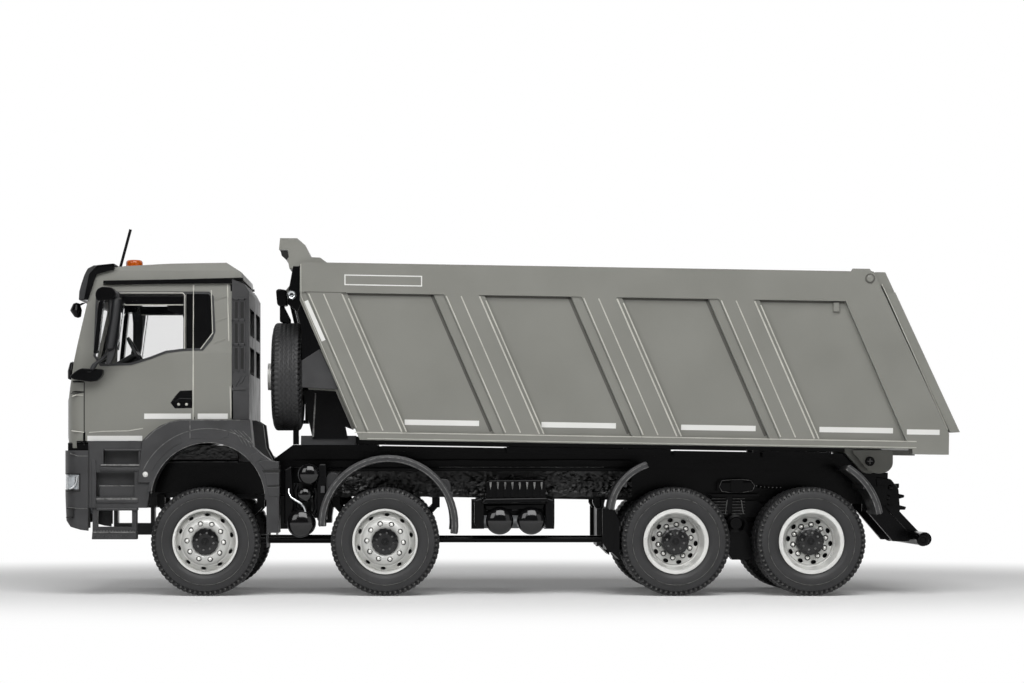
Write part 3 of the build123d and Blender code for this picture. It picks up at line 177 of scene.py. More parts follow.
def piece(
    name, shape, material, body="chassis", smooth=False, bevel_mm=0.0, wall_mm=0.0
):
    """A shape, or a list of them, in millimetres as a finished object on its body, with its faces
    turned outwards. A single surface gets a wall, half to each side."""
    points, faces = shape_joined(*shape) if isinstance(shape, list) else shape
    mesh = bpy.data.meshes.new(name)
    mesh.from_pydata((np.asarray(points) / 1000).tolist(), [], faces)
    work = bmesh.new()
    work.from_mesh(mesh)
    bmesh.ops.remove_doubles(work, verts=work.verts, dist=2e-7)
    bmesh.ops.recalc_face_normals(work, faces=work.faces)
    work.to_mesh(mesh)
    work.free()
    mesh.materials.append(material)
    if smooth:
        mesh.shade_smooth()
        mesh.set_sharp_from_angle(angle=math.radians(38))
    made = bpy.data.objects.new(name, mesh)
    bpy.context.scene.collection.objects.link(made)
    if wall_mm:
        wall = made.modifiers.new("Wall", "SOLIDIFY")
        wall.thickness = wall_mm / 1000
        wall.offset = 0
    if bevel_mm:
        soften = made.modifiers.new("Bevel", "BEVEL")
        soften.width = bevel_mm / 1000
        soften.segments = 2
        soften.limit_method = "ANGLE"
    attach(made, body)
    return made


def tread_tyre(x, middle, z, axis, up, side, crowns=7):
    """One tyre: a section of radius against width, carried round the axle. Blocks are cut into the
    tread by lowering the radius where a saw wave of angle and width is low, and each cut also pulls the
    shoulder inwards, so that the side view shows a ring of small notches. With more crown points the
    middle has zigzag ribs instead: grooves where width plus a triangle wave of angle falls low."""
    half = np.array(tyre_section)
    crown = np.stack([np.full(crowns, tyre_radius), np.linspace(-1.7, 1.7, crowns)], 1)
    section = np.concatenate([half, crown, half[::-1] * [1, -1]])
    turns = 6 * lugs
    angle = circle(turns)
    radius = np.repeat(section[None, :, 0], turns, 0)
    width = np.repeat(section[None, :, 1], turns, 0)
    pitch = angle[:, None] * lugs / (2 * np.pi)
    # The lugs of the two sides are offset by half a pitch
    phase = (pitch + 0.5 * (width > 0) + 0.12 * width) % 1
    groove = (phase < 0.42) & (radius > 10.2)
    middle_groove = (np.abs(width) < 0.7) & (radius > 11)
    if crowns > 7:
        zigzag = (width * 1.1 + 0.8 * np.abs(pitch % 1 - 0.5)) % 1
        groove = np.where(np.abs(width) < 1.9, zigzag < 0.36, groove) & (radius > 10.2)
        middle_groove = False
    radius = radius - np.where(radius > 11.1, 0.14, 0.3) * groove - 0.14 * middle_groove
    width = width - 0.3 * np.sign(width) * groove * (np.abs(width) > 2.4)
    across = np.asarray(axis, float)
    first = np.asarray(up, float)
    second = np.cross(across, first)
    points = (
        np.array([x, middle, z])
        + width[..., None] * across * side
        + (radius * np.cos(angle)[:, None])[..., None] * first
        + (radius * np.sin(angle)[:, None])[..., None] * second
    )
    return points.reshape(-1, 3), grid_faces(turns, len(section), True, True)


# PVC rubber: deep grey, no shine, with the dry bloom of moulded tyres
tyre_rubber = skin("moulded_pvc_rubber", "#1f1f20", 0.52, 0.5, 0.03, mottle=0.25, drift_mm=5.0, IOR=1.5)
wheels = [
    (axle, middles, side, "_" + axle + "_" + side_name)
    for axle, middles in tyre_mid.items() for side_name, side in (("left", -1), ("right", 1))
]
for axle, middles, side, wheel in wheels:
    rings = [tread_tyre(axle_x[axle], side * m, axle_z, (0, 1, 0), (1, 0, 0), side) for m in middles]
    tyre = piece("tread" + wheel, rings, tyre_rubber, "wheel" + wheel, smooth=True)
    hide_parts("tyre" + wheel)

# Pale painted highlights on the lugs' shoulder edges draw a ring of specks
tyre_glint = skin("pvc_painted_highlight_edges", "#50504e", 0.5, 0.3, 0.05, mottle=0.7, drift_mm=1.0, IOR=1.5)


def lug_edges(x, middle, z, side):
    """Thin pads on the lugs of one shoulder: blocks spread evenly by angle, each between two radii and
    two widths."""
    lug = (np.arange(lugs) + 0.71) * 2 * np.pi / lugs
    block = ((-1, 10.42), (1, 10.42), (1, 10.74), (-1, 10.74))
    turn, radius, width = np.array([(a, r, w) for w in (2.7, 3.0) for a, r in block]).T
    angle = lug[:, None] + turn * 0.013
    y = middle + side * (width - 0.28 * (radius > 10.6)) + 0 * angle
    points = np.stack([x + radius * np.cos(angle), y, z - radius * np.sin(angle)], -1)
    faces = [tuple(8 * i + corner for corner in face) for i in range(lugs) for face in box_faces]
    return points.reshape(-1, 3), faces


for axle, middles, side, wheel in wheels:
    shoulder = lug_edges(axle_x[axle], side * max(middles), axle_z, side)
    piece("lug_edges" + wheel, shoulder, tyre_glint, "wheel" + wheel)

spare_tread = tread_tyre(-46.0, -14.2, 45.3, (1, 0, 0), (0, 1, 0), 1, crowns=33)
spare = piece("tread_spare", spare_tread, tyre_rubber, smooth=True)
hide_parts("spare_tyre")

# Wheels
# Die-cast rims, silver lacquered: a rolled lip and barrel, a pressed disc with ten hand holes, ten
# nuts, and a black hub cap. The front discs stand out, and the rear ones lie deep between the twins.
# Silver lacquer: fine aluminium flake under a soft clear coat
silver = skin("silver_lacquer", "#bebebb", 0.4, 0.25, 0.02, mottle=0.07, Metallic=0.25, Coat_Weight=0.15)
give(silver, "spare_rim")

# Black plastic hub caps, pressed on
hub_black = skin("grained_black_hub_abs", "#101011", 0.2, 0.6, 0.02, IOR=1.5)


def turned(profile, centre, direction, turns=32, lobes=0, lobe_mm=0.0):
    """A body of revolution: profile rows of radius and distance are turned round direction. Lobes
    swell the radii over two millimetres by a cosine of the angle."""
    along = np.asarray(direction, float)
    first = np.array([0.0, 0.0, 1.0]) if abs(along[2]) < 0.9 else np.array([1.0, 0.0, 0.0])
    first = unit(first - (first @ along) * along)
    second = np.cross(along, first)
    rows = np.asarray(profile, float)
    angle = circle(turns)
    radius = rows[:, 0] + lobe_mm * np.cos(lobes * angle)[:, None] * (rows[:, 0] > 2)
    round_about = np.cos(angle)[:, None, None] * first + np.sin(angle)[:, None, None] * second
    points = np.asarray(centre, float) + radius[..., None] * round_about + rows[:, 1][:, None] * along
    closed = tuple(profile[0]) == tuple(profile[-1])
    return points.reshape(-1, 3), grid_faces(turns, len(rows), True, closed)


def studs(profile, x, y, z, turns, sides=(-1, 1)):
    """A body of revolution that looks outwards, at distance y from the middle on the sides named."""
    return shape_joined(*[turned(profile, (x, side * y, z), (0, side, 0), turns) for side in sides])


def holed_ring(centre, out, inner, outer, depth, holes, hole_ring, hole_half, first_hole):
    """A ring of sheet round out, between two radii, whose depth along out is a function of radius. Each
    hole's sector is a patch between an ellipse and the sector's edge: row t of it is ellipse plus t
    times the way to the edge."""
    across = np.pi / holes
    step = np.linspace(-1, 1, 9)[:-1]
    edge_a = np.concatenate([step, np.ones(8), -step, -np.ones(8)]) * across
    edge_r = np.concatenate([np.ones(8), -step, -np.ones(8), step])
    edge_r = (inner + outer) / 2 + edge_r * (outer - inner) / 2
    way = np.arctan2((edge_r - hole_ring) / hole_half[0], edge_a * hole_ring / hole_half[1])
    hole_a = np.cos(way) * hole_half[1] / hole_ring
    hole_r = hole_ring + np.sin(way) * hole_half[0]
    t = np.linspace(0, 1, 4)[:, None]
    turn = first_hole + np.arange(holes)[:, None, None] * 2 * across
    angle = hole_a + (edge_a - hole_a) * t + turn
    radius = hole_r + (edge_r - hole_r) * t + 0 * turn
    patch = grid_faces(4, 32, False, True)
    faces = [tuple(i + 128 * sector for i in face) for sector in range(holes) for face in patch]
    flat = np.stack([radius * np.sin(angle), 0 * radius, radius * np.cos(angle)]).reshape(3, -1)
    at = centre[:, None] + flat + np.outer(out, depth(radius).ravel())
    return at.T, faces


rim_forms = {
    "front": {
        "barrel": [
            (6.2, 2.4), (6.62, 2.62), (6.74, 2.85), (6.68, 2.97), (6.36, 2.97), (6.26, 2.85), (6.14, 2.2),
            (6.1, 0.6), (5.9, -2.2), (6.0, -2.75), (6.1, -2.9), (6.6, -2.9), (6.7, -2.75), (6.2, -2.4),
            (6.2, 2.4),
        ],
        "depth": lambda r: np.interp(r, [2.4, 4.6, 4.8, 6.15], [2.05, 2.05, 1.98, 0.85]),
        "rings": (4.9, 6.05, 6.16), "hole": (5.48, (0.42, 0.54), 0.07), "nuts": (3.72, 2.2, 0.36),
        "hub": [
            (0, 3.0), (0.3, 3.0), (0.42, 2.8), (0.62, 2.8), (0.75, 3.08), (1.6, 3.08), (2.35, 3.0),
            (2.55, 2.85), (2.7, 2.6), (2.75, 2.05), (0, 2.05),
        ],
        "heads": (1.75, 3.04),
    },
    "rear": {
        "barrel": [
            (6.2, 5.9), (6.62, 6.12), (6.72, 6.3), (6.62, 6.45), (5.98, 6.45), (5.82, 6.3), (5.74, 5.6),
            (5.55, 4.8), (5.2, 2.9), (5.1, 1.7), (5.5, -5.6), (5.9, -6.3), (6.6, -6.45), (6.7, -6.3),
            (6.2, -5.9), (6.2, 5.9),
        ],
        "depth": lambda r: np.interp(r, [2.4, 4.9, 5.3], [2.1, 2.1, 2.7]), "rings": (3.75, 4.95, 5.3),
        "hole": (4.38, (0.44, 0.56), -0.2), "nuts": (3.42, 2.3, 0.11),
        "hub": [
            (0, 5.0), (0.3, 5.0), (0.42, 4.8), (0.6, 4.8), (0.7, 4.95), (1.2, 4.95), (2.3, 4.75), (2.4, 4.5),
            (2.45, 4.2), (2.8, 4.1), (2.85, 3.9), (2.85, 1.0), (0, 1.0),
        ],
        "heads": (1.75, 4.88),
    },
}
# Painted highlights: the rim edges in a lighter silver, and the wheel nuts in a metallic near-white
rim_highlight = skin("silver_rim_painted_highlight", "#d8d8d5", 0.3, 0.4, 0.006, IOR=1.5, Metallic=0.25)
nut_highlight = skin("wheel_nuts_painted_highlight", "#f2f2ee", 0.22, 0.5, 0.01, IOR=1.5, Metallic=0.55)
nut = [(0, 0.6), (0.18, 0.58), (0.32, 0.46), (0.4, 0.3), (0.42, -0.2), (0, -0.2)]
nut_shade_ring = [(0.42, 0.06), (0.6, 0.04), (0.6, -0.1), (0.42, -0.1), (0.42, 0.06)]
head = [(0, 0.16), (0.16, 0.14), (0.24, 0.0), (0.24, -0.1), (0, -0.1)]
rim_line = [(8.82, 3.1), (8.87, 3.215), (8.96, 3.215), (9.02, 3.1), (8.92, 3.0), (8.82, 3.1)]


def spread_round(middle, out, face, ring, count, first):
    """Centres on a circle of radius ring that lies face millimetres out from middle."""
    angle = circle(count) + first
    return middle + out * face + ring * np.stack([np.sin(angle), 0 * angle, np.cos(angle)], 1)


for axle, middles, side, wheel in wheels:
    form = rim_forms["front" if axle in "12" else "rear"]
    inner, outer, edge = form["rings"]
    hole_ring, hole_half, first_hole = form["hole"]
    nut_ring, nut_face, first_nut = form["nuts"]
    head_ring, head_face = form["heads"]
    middle = np.array([axle_x[axle], side * sum(middles) / len(middles), axle_z])
    out = np.array([0.0, side, 0.0])
    body = "wheel" + wheel
    disc = [holed_ring(middle, out, inner, outer, form["depth"], 10, hole_ring, hole_half, first_hole)]
    for low, high in ((2.4, inner), (outer, edge)):
        disc.append(turned([(r, form["depth"](r)) for r in np.linspace(low, high, 3)], middle, out, 80))
    piece("disc" + wheel, disc, silver, body, smooth=True, wall_mm=0.4)
    profile = turned(form["barrel"], middle, out, 96)
    barrel = piece("barrel" + wheel, profile, rim_highlight, body, smooth=True)
    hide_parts("rim" + wheel)
    # The brake drum's black rim closes the view through the hand holes
    rim = outer + 0.1
    drum = [(3.2, 0.3), (rim, 0.3), (rim, -0.6), (3.2, -0.6), (3.2, 0.3)]
    piece("drum" + wheel, turned(drum, middle, out, 48), black_abs, body)
    centres = spread_round(middle, out, nut_face, nut_ring, 10, first_nut)
    nuts = [turned(nut, centre, out, 12) for centre in centres]
    piece("nuts" + wheel, nuts, nut_highlight, body, smooth=True)
    hub = [turned(form["hub"], middle, out, 80, lobes=16, lobe_mm=0.05)]
    # A ring of the hub's black round each nut is painted shade for the gap round it
    hub += [turned(nut_shade_ring, centre, out, 14) for centre in centres]
    piece("hub" + wheel, hub, hub_black, body)
    # Bolt heads on the hub cap, in grey painted highlights
    centres = spread_round(middle, out, head_face, head_ring, 8, 0.2)
    heads = [turned(head, centre, out, 8) for centre in centres]
    piece("heads" + wheel, heads, glint_grey, body)
    # A thin raised ring on the outer tyre's side, painted pale as a highlight
    outer_tyre = np.array([axle_x[axle], side * max(middles), axle_z])
    piece("ring" + wheel, turned(rim_line, outer_tyre, out, 96), tyre_glint, body)

# Cab
# Die-cast cab, sprayed a satin grey with a hint of olive, with clear windows pressed in from inside.
# Satin lacquer: even colour, soft broad highlights, a very fine orange peel
grey_paint = skin("satin_grey_lacquer", "#767670", 0.38, 0.9, 0.008, mottle=0.03, IOR=1.5)
give(grey_paint, "cab_shell", "bed_floor", "bed_side_left", "bed_side_right", "bed_front_wall", "tailgate")
# Under the floor's own line the bed is coloured near-black: a plane that falls with the bed splits the two
# colours, except for the bare grey lugs behind the last axle
bed_slope = 0.01658
grey_black_split = skin("grey_with_black_under_line", "#767670", 0.38, 0.9, 0.008, mottle=0.03, IOR=1.5)
tree = grey_black_split.node_tree
shade = next(node for node in tree.nodes if node.type == "BSDF_PRINCIPLED")
place = next(node for node in tree.nodes if node.type == "TEX_COORD").outputs["Object"]
upright = {1: (bed_slope, 0.0, 1.0)}
level = add_node(tree, "ShaderNodeVectorMath", upright, {0: place}, operation="DOT_PRODUCT")
floor_line = {"From Min": 0.03082, "From Max": 0.03094}
above = add_node(tree, "ShaderNodeMapRange", floor_line, {"Value": level.outputs["Value"]})
apart = add_node(tree, "ShaderNodeSeparateXYZ", links={0: place})
behind = add_node(tree, "ShaderNodeMath", {1: 0.069}, {0: apart}, operation="GREATER_THAN")
grey_here = add_node(tree, "ShaderNodeMath", links={0: above, 1: behind}, operation="MAXIMUM")
black_under_line = add_node(tree, "ShaderNodeMix", data_type="RGBA")
black_under_line.inputs["A"].default_value = linear("#0a0a0a")
tree.links.new(grey_here.outputs[0], black_under_line.inputs["Factor"])
tree.links.new(shade.inputs["Base Color"].links[0].from_socket, black_under_line.inputs["B"])
tree.links.new(black_under_line.outputs["Result"], shade.inputs["Base Color"])
give(grey_black_split, "bed_floor")


def clear(name, code, roughness, seen_through):
    """Thin clear plastic: a dark gloss film that lets part of the light straight through."""
    material, tree, place = new_material(name)
    ripple = add_node(tree, "ShaderNodeTexNoise", {"Scale": 180, "Detail": 1}, {"Vector": place})
    bump = add_node(tree, "ShaderNodeBump", {"Strength": 0.15, "Distance": 0.00005}, {"Height": ripple})
    film = {"Base Color": linear(code), "Roughness": roughness, "IOR": 1.49, "Alpha": 1 - seen_through}
    shade = add_node(tree, "ShaderNodeBsdfPrincipled", film, {"Normal": bump})
    add_node(tree, "ShaderNodeOutputMaterial", links={"Surface": shade})
    return material


window_clear = clear("clear_polystyrene", "#101214", 0.05, 0.93)
give(window_clear, "cab_glazing")
lamp_clear = clear("lamp_polystyrene", "#c9ced2", 0.08, 0.35)
give(lamp_clear, "lamps")


def cab_side(z):
    """Distance of the cab's side face from the middle at height z: upright to the belt, then leaning in."""
    return 22.4 - 1.2 * np.maximum(z - 50.0, 0) / 17


def capped_faces(rows, columns):
    """The faces of a tube of rings, with both ends closed."""
    ends = [tuple(range(columns)), tuple(range(rows * columns - 1, (rows - 1) * columns - 1, -1))]
    return grid_faces(rows, columns, False, True) + ends


def on_sides(points, faces, sides=(-1, 1)):
    """A shape given by positive distances from the middle, on the sides named."""
    points = np.asarray(points, float).reshape(-1, 3)
    return shape_joined(*[(points * [1, side, 1], faces) for side in sides])


def ribbon(path, width, proud, surface, sides=(-1, 1), sunk=0.12, loop=False):
    """A strip that follows a side-view path on a side surface, given as its distance from the middle or
    a function of height: its four edges are the path moved to both sides by half the width, sunk under
    the surface and proud of it."""
    line = np.asarray(path, float)
    if loop:
        ahead = np.roll(line, -1, 0) - line
        behind = line - np.roll(line, 1, 0)
    else:
        ahead = np.diff(line, axis=0, append=2 * line[-1:] - line[-2:-1])
        behind = np.diff(line, axis=0, prepend=2 * line[:1] - line[1:2])
    ahead = unit(ahead)
    mean = unit(ahead + unit(behind))
    normal = np.stack([-mean[:, 1], mean[:, 0]], 1) / np.maximum((mean * ahead).sum(1), 0.4)[:, None]
    edges = []
    for shift, lift in ((-0.5, -sunk), (-0.5, proud), (0.5, proud), (0.5, -sunk)):
        at = line + shift * width * normal
        face = surface(at[:, 1]) if callable(surface) else surface
        edges.append(np.stack([at[:, 0], face + lift + 0 * at[:, 0], at[:, 1]], 1))
    faces = grid_faces(len(line), 4, True, True) if loop else capped_faces(len(line), 4)
    return on_sides(np.stack(edges, 1), faces, sides)


def slab(outline, inner, outer, sides=(-1, 1)):
    """A plate with a side-view outline, between two distances from the middle, on the sides named."""
    flat = np.asarray(outline, float)
    count = len(flat)
    faces = [tuple(range(count)), tuple(range(2 * count - 1, count - 1, -1))]
    faces += [(i, (i + 1) % count, count + (i + 1) % count, count + i) for i in range(count)]
    return on_sides([np.insert(flat, 1, y, axis=1) for y in (inner, outer)], faces, sides)


def box(x_low, x_high, z_low, z_high, inner, outer, sides=(-1, 1)):
    """A plate that is an upright rectangle seen from the side."""
    corners = [(x_low, z_low), (x_high, z_low), (x_high, z_high), (x_low, z_high)]
    return slab(corners, inner, outer, sides)


def ribbons(surface, rows):
    """Ribbons on one surface, from rows of width, height over the surface and path."""
    return shape_joined(*[ribbon(path, width, proud, surface) for width, proud, path in rows])


def slabs(rows, sides=(-1, 1)):
    """Plates on the same sides, from rows of inner distance, outer distance and outline."""
    return shape_joined(*[slab(outline, inner, outer, sides) for inner, outer, outline in rows])


left_only = (-1,)



# White printed reflective strip: flat white with fine glass beads
white_tape = skin("white_reflective_tape", "#d2d2cf", 0.5, 0.3, 0.01, mottle=0.03, IOR=1.5)
piece("cab_strips", ribbons(cab_side, [
    (1.05, 0.04, [(-87.0, 32.4), (-75.7, 32.4)]), (1.1, 0.04, [(-75.3, 36.95), (-65.7, 36.95)]),
    (1.1, 0.04, [(-64.3, 36.95), (-58.1, 36.95)]),
]), white_tape)
# Shut lines: the dark of an open joint, with the lit edge of the door beside it
joint_dark = skin("open_joint_and_shade", "#121211", 0.8, 0.5, 0.01)
piece("door_joints", ribbons(cab_side, [
    (0.16, 0.02, [(-64.95, 36.3), (-64.95, 65.0)]), (0.22, 0.02, [(-87.65, 31.0), (-87.65, 44.0)]),
    (0.16, 0.02, [(-90.5, 41.6), (-87.65, 41.9)]),
]), joint_dark)
# The same lacquer painted pale on raised edges, as painted highlights
edge_highlight = skin("painted_highlight_on_edges", "#b0afa7", 0.35, 0.4, 0.01, mottle=0.12, drift_mm=2.0, IOR=1.5)
piece("door_edges", ribbons(cab_side, [
    (0.3, 0.16, [(-65.22, 64.07), (-65.22, 62.84)]), (0.18, 0.2, [(-65.22, 62.84), (-65.22, 50.59)]),
    (0.28, 0.16, [(-65.22, 50.59), (-65.22, 36.18)]),
    (0.2, 0.1, [(-86.66, 33.59), (-83.78, 33.83), (-78.64, 33.92), (-75.55, 34.43)]),
    (0.2, 0.1, [(-90.27, 33.96), (-87.69, 33.63)]),
    (0.2, 0.1, [(-90.16, 41.02), (-89.34, 41.33), (-87.82, 41.28)]),
    (0.22, 0.12, [(-58.22, 64.18), (-57.96, 54.71), (-57.44, 36.59)]),
    (0.2, 0.16, [(-61.56, 62.94), (-61.23, 54.09), (-63.72, 50.76)]),
    (0.2, 0.17, [(-81.12, 62.37), (-67.41, 62.37), (-66.99, 61.91), (-66.99, 50.8)]),
]), edge_highlight, bevel_mm=0.05)
# Three soft waves pressed into the pillar behind the door
piece("pillar_waves", [
    slab([(x, z), (x + 2.7, z + 1.0), (x + 2.7, z + 0.55), (x + 0.2, z - 0.45)], 21.0, cab_side(z) + 0.07)
    for x, z in [(-60.96, 61.0), (-60.84, 56.58), (-61.25, 52.13)]
], grey_paint, bevel_mm=0.06)
piece("front_corner_joints", ribbons(cab_side, [
    (0.3, 0.03, [(-90.06, 44.08), (-87.69, 44.0)]),
    (0.2, 0.03, [(-90.16, 41.9), (-89.34, 42.05), (-87.63, 41.94)]),
    (0.5, 0.03, [(-87.65, 33.71), (-87.65, 31.24)]),
    (0.5, 0.42, [(-83.79, 64.67), (-69.59, 64.92), (-54.97, 65.29)]),
    (0.28, 0.34, [(-83.79, 64.18), (-69.59, 64.4), (-54.97, 64.63)]),
    (0.35, 0.05, [(-57.46, 64.17), (-57.17, 36.47)]),
]), black_abs, bevel_mm=0.05)
window_loop = [
    (-85.1, 61.9), (-85.5, 49.4), (-84.2, 47.5), (-78.0, 47.7), (-73.9, 49.0), (-70.8, 50.2), (-67.1, 50.65),
    (-63.3, 50.75), (-61.5, 52.9), (-60.9, 54.5), (-61.3, 61.6), (-62.1, 62.4), (-84.6, 62.4),
]
piece("window_seals", [
    ribbon(window_loop, 0.5, 0.14, cab_side, loop=True),
    ribbon([(-67.0, 50.6), (-67.0, 62.4)], 0.5, 0.14, cab_side),
], dark_abs)
# Black header band and rolled blind over the side window, as moulded in the glazing
piece("window_headers", [
    box(-79.97, -67.19, 60.05, 61.76, 20.6, 21.3),
    slab([(-70.73, 59.92), (-67.19, 59.92), (-67.19, 57.92), (-69.25, 58.13), (-70.49, 58.87)], 20.6, 21.2),
], black_abs, bevel_mm=0.1)
# A painted highlight along the header's lower edge
piece("header_edges", box(-79.76, -67.19, 59.82, 60.05, 20.8, 21.25), edge_highlight)
piece("door_handles", slabs([
    (22.1, 22.46, [
        (-69.94, 39.72), (-68.95, 41.12), (-67.95, 42.23), (-65.39, 42.35), (-65.39, 38.61), (-69.0, 38.52),
    ]),
    (22.3, 22.75, [(-69.16, 39.8), (-68.13, 40.71), (-65.46, 40.62), (-65.46, 39.92), (-68.34, 39.8)]),
]), black_abs, bevel_mm=0.12)
# Rivets in the pale painted highlight
piece("handle_rivets", [
    studs([(0, 0.2), (0.2, 0.15), (0.32, 0.0), (0.32, -0.3), (0, -0.3)], x, 22.46, z, 14)
    for x, z in [(-68.21, 39.39), (-66.61, 39.39)]
], edge_highlight, smooth=True)
# Rear stack grilles: raised bars leave three pairs of upright slots, with braces under them
stack_bars = [
    *[box(-57.31, -54.35, z, z + 0.55, 22.1, 22.42) for z in (60.76, 56.39, 51.41, 42.27)],
    *[box(x, x + 0.42, 46.06, 61.29, 22.1, 22.42) for x in (-57.23, -56.08, -54.84)],
    slabs([
        (22.1, 22.4, [(-57.02, 42.77), (-55.58, 45.03), (-55.3, 45.03), (-56.7, 42.64)]),
        (22.1, 22.4, [(-55.58, 43.8), (-54.66, 45.24), (-54.43, 45.24), (-55.25, 43.63)]),
    ]),
]
piece("stack_bars", stack_bars, satin_black, bevel_mm=0.08)
slot_rows = [(57.17, 60.47), (52.03, 56.06), (46.68, 51.00)]
slots = [box(x + 0.18, x + 0.95, low, high, 22.1, 22.22) for x in (-56.82, -55.67) for low, high in slot_rows]
piece("stack_slots", slots, joint_dark)

# The visor is a deep rounded bar across the roof's brow, with two mould ridges along it
visor_outline = [
    (-88.97, 60.9), (-88.85, 62.75), (-88.4, 64.4), (-87.82, 66.13), (-87.12, 67.49), (-85.88, 68.11),
    (-83.62, 68.27), (-81.15, 68.31), (-81.15, 67.7), (-83.82, 67.2), (-85.55, 66.46), (-86.5, 64.4),
    (-87.41, 60.9),
]
piece("visor_shell", slab(visor_outline, -21.0, 21.0, (1,)), dark_abs, bevel_mm=0.25)
ridge_outlines = [
    [(-87.61, 65.93), (-86.87, 67.24), (-86.73, 67.14), (-87.47, 65.84)],
    [(-88.4, 63.78), (-88.02, 65.06), (-87.86, 65.0), (-88.23, 63.74)],
]
piece("visor_ridges", [slab(outline, -20.8, 21.08, (1,)) for outline in ridge_outlines], satin_black)
# A black sill closes the joint between the cab's front and the bumper
piece("cab_sill", box(-91.15, -86.5, 29.72, 31.53, -21.4, 21.9, (1,)), black_abs, bevel_mm=0.2)

# Mirrors
# Black moulded mirror heads on arms: a tall main head, a short round one over it, a pod at the door's
# foot that carries the lower arm, and two small ones by the windscreen on the left.


def rounded(outline, corner, steps=5):
    """An outline whose corners are replaced by quadratic curves that start corner away from them."""
    points = np.asarray(outline, float)
    before = np.roll(points, 1, 0) - points
    after = np.roll(points, -1, 0) - points
    reach = np.minimum(np.linalg.norm(before, axis=1), np.linalg.norm(after, axis=1))[:, None] * 0.45
    reach = np.minimum(reach, corner)
    start = points + unit(before) * reach
    end = points + unit(after) * reach
    t = np.linspace(0, 1, steps)[None, :, None]
    curve = (1 - t) ** 2 * start[:, None] + 2 * t * (1 - t) * points[:, None] + t**2 * end[:, None]
    return curve.reshape(-1, 2)


def swept(path, y, half_x, half_y, sides=(-1, 1), turns=20):
    """A smooth arm or housing: an ellipse of half widths in X and Y that lies level at each point of a
    side-view path, at distance y from the middle; the end rows shrink to close it."""
    flat = np.asarray(path, float)
    line = np.insert(flat, 1, y, axis=1)
    spread = np.linspace(0, 1, 17)
    walked = np.concatenate([[0], np.cumsum(np.linalg.norm(np.diff(line, axis=0), axis=1))])
    walked = walked / walked[-1]
    line = np.stack([np.interp(spread, walked, line[:, i]) for i in range(3)], 1)
    plump = np.clip(np.sin(np.pi * np.clip(np.minimum(spread, 1 - spread) * 6, 0, 0.5)), 0.02, 1)
    wide = np.interp(spread, walked, np.broadcast_to(half_x, len(walked))) * plump
    deep = np.interp(spread, walked, np.broadcast_to(half_y, len(walked))) * plump
    angle = circle(turns)
    x = line[:, :1] + wide[:, None] * np.cos(angle)
    y = line[:, 1:2] + deep[:, None] * np.sin(angle)
    return on_sides(np.stack([x, y, line[:, 2:] + 0 * x], -1), capped_faces(17, turns), sides)


mirror_plate = rounded([(-84.07, 60.21), (-83.04, 60.83), (-84.19, 49.90), (-85.13, 49.55)], 0.6)
mirror_top = rounded([
    (-84.8, 61.44), (-84.47, 62.75), (-83.33, 63.32), (-81.25, 63.16), (-80.55, 62.15), (-80.76, 60.75),
    (-84.43, 60.32),
], 0.8)
mirror_pod = rounded([
    (-90.31, 45.11), (-89.08, 46.17), (-87.93, 46.77), (-86.29, 46.63), (-83.54, 46.59), (-83.49, 45.56),
    (-84.52, 44.2), (-86.29, 43.96), (-89.9, 44.57),
], 0.7)
mirror_body = [(-80.27, 61.44), (-80.71, 57.35), (-81.45, 52.86), (-81.98, 50.00)]
mirror_arm = [(-85.83, 46.17), (-85.09, 47.60), (-83.45, 48.71), (-82.43, 49.77), (-81.92, 51.29)]
mirrors = piece("mirror_sets", slabs([
    (25.7, 28.7, mirror_plate), (23.0, 28.6, mirror_top), (22.3, 25.4, mirror_pod),
]), black_abs, bevel_mm=0.4)
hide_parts("mirrors")
piece("mirror_bodies", [
    swept(mirror_body, 27.3, 1.05, 1.5), swept(mirror_arm, 25.6, 0.62, 0.7),
    swept([(-86.18, 46.08), (-87.0, 45.36)], (25.0, 23.5), 0.7, 0.8),
], dark_abs, smooth=True)
# A round mirror looks down over the windscreen, and a small one stands at its foot
piece("front_mirrors", [
    swept([(-89.14, 59.74), (-87.9, 60.36), (-86.66, 60.36)], (20.5, 20.8, 20.8), 0.45, 0.5, left_only),
    swept([(-90.6, 46.14), (-90.2, 45.73), (-89.22, 45.31)], 19.8, 0.4, 0.5, left_only),
    swept([
        (-89.43, 60.46), (-89.55, 58.81), (-89.14, 57.26),
    ], 20.5, (0.6, 1.25, 0.6), (0.8, 1.6, 0.8), left_only),
    swept([
        (-90.35, 48.32), (-90.62, 46.35), (-90.85, 44.49),
    ], 19.5, (0.5, 0.75, 0.5), (0.8, 1.5, 0.8), left_only),
], black_abs, smooth=True)
# Silvered faces look back along the truck
mirror_face = skin("silvered_plastic", "#c9ccce", 0.08, 0.8, 0.002, mottle=0.02, Metallic=1.0)
piece("mirror_faces", slab([
    (-80.25, 50.4), (-78.95, 60.2), (-78.8, 60.2), (-80.1, 50.4),
], 26.2, 28.3), mirror_face)

# Two wipers lie at the windscreen's foot, arm and blade in one black moulding
screen_x, screen_z, screen_lean = -89.66, 50.5, 0.184
wipers = []
for foot in (-15.0, 2.0):
    reach = (foot, foot + 5.5, foot + 12.5)
    arm = [(screen_x + (z - screen_z) * screen_lean, z) for z in (49.6, 51.6, 53.2)]
    wipers.append(swept(arm, reach, 0.24, 0.24, (1,)))
piece("wipers", wipers, black_abs, smooth=True)

# The main head's smooth dark back, seen along the door
piece("mirror_shells", slab(rounded([
    (-82.47, 62.41), (-81.37, 62.82), (-79.85, 62.2), (-79.81, 57.0), (-80.18, 52.91), (-81.08, 48.82),
    (-81.98, 47.26), (-82.72, 47.59), (-82.1, 52.5), (-82.06, 58.23),
], 0.7), 25.2, 27.4), dark_abs, bevel_mm=0.35)

# Beacons
# Glossy caps of solid orange polystyrene, pressed into the roof.
beacon_orange = skin("orange_polystyrene", "#b85208", 0.15, 1.0, 0.01, mottle=0.1, IOR=1.59)
give(beacon_orange, "beacons")
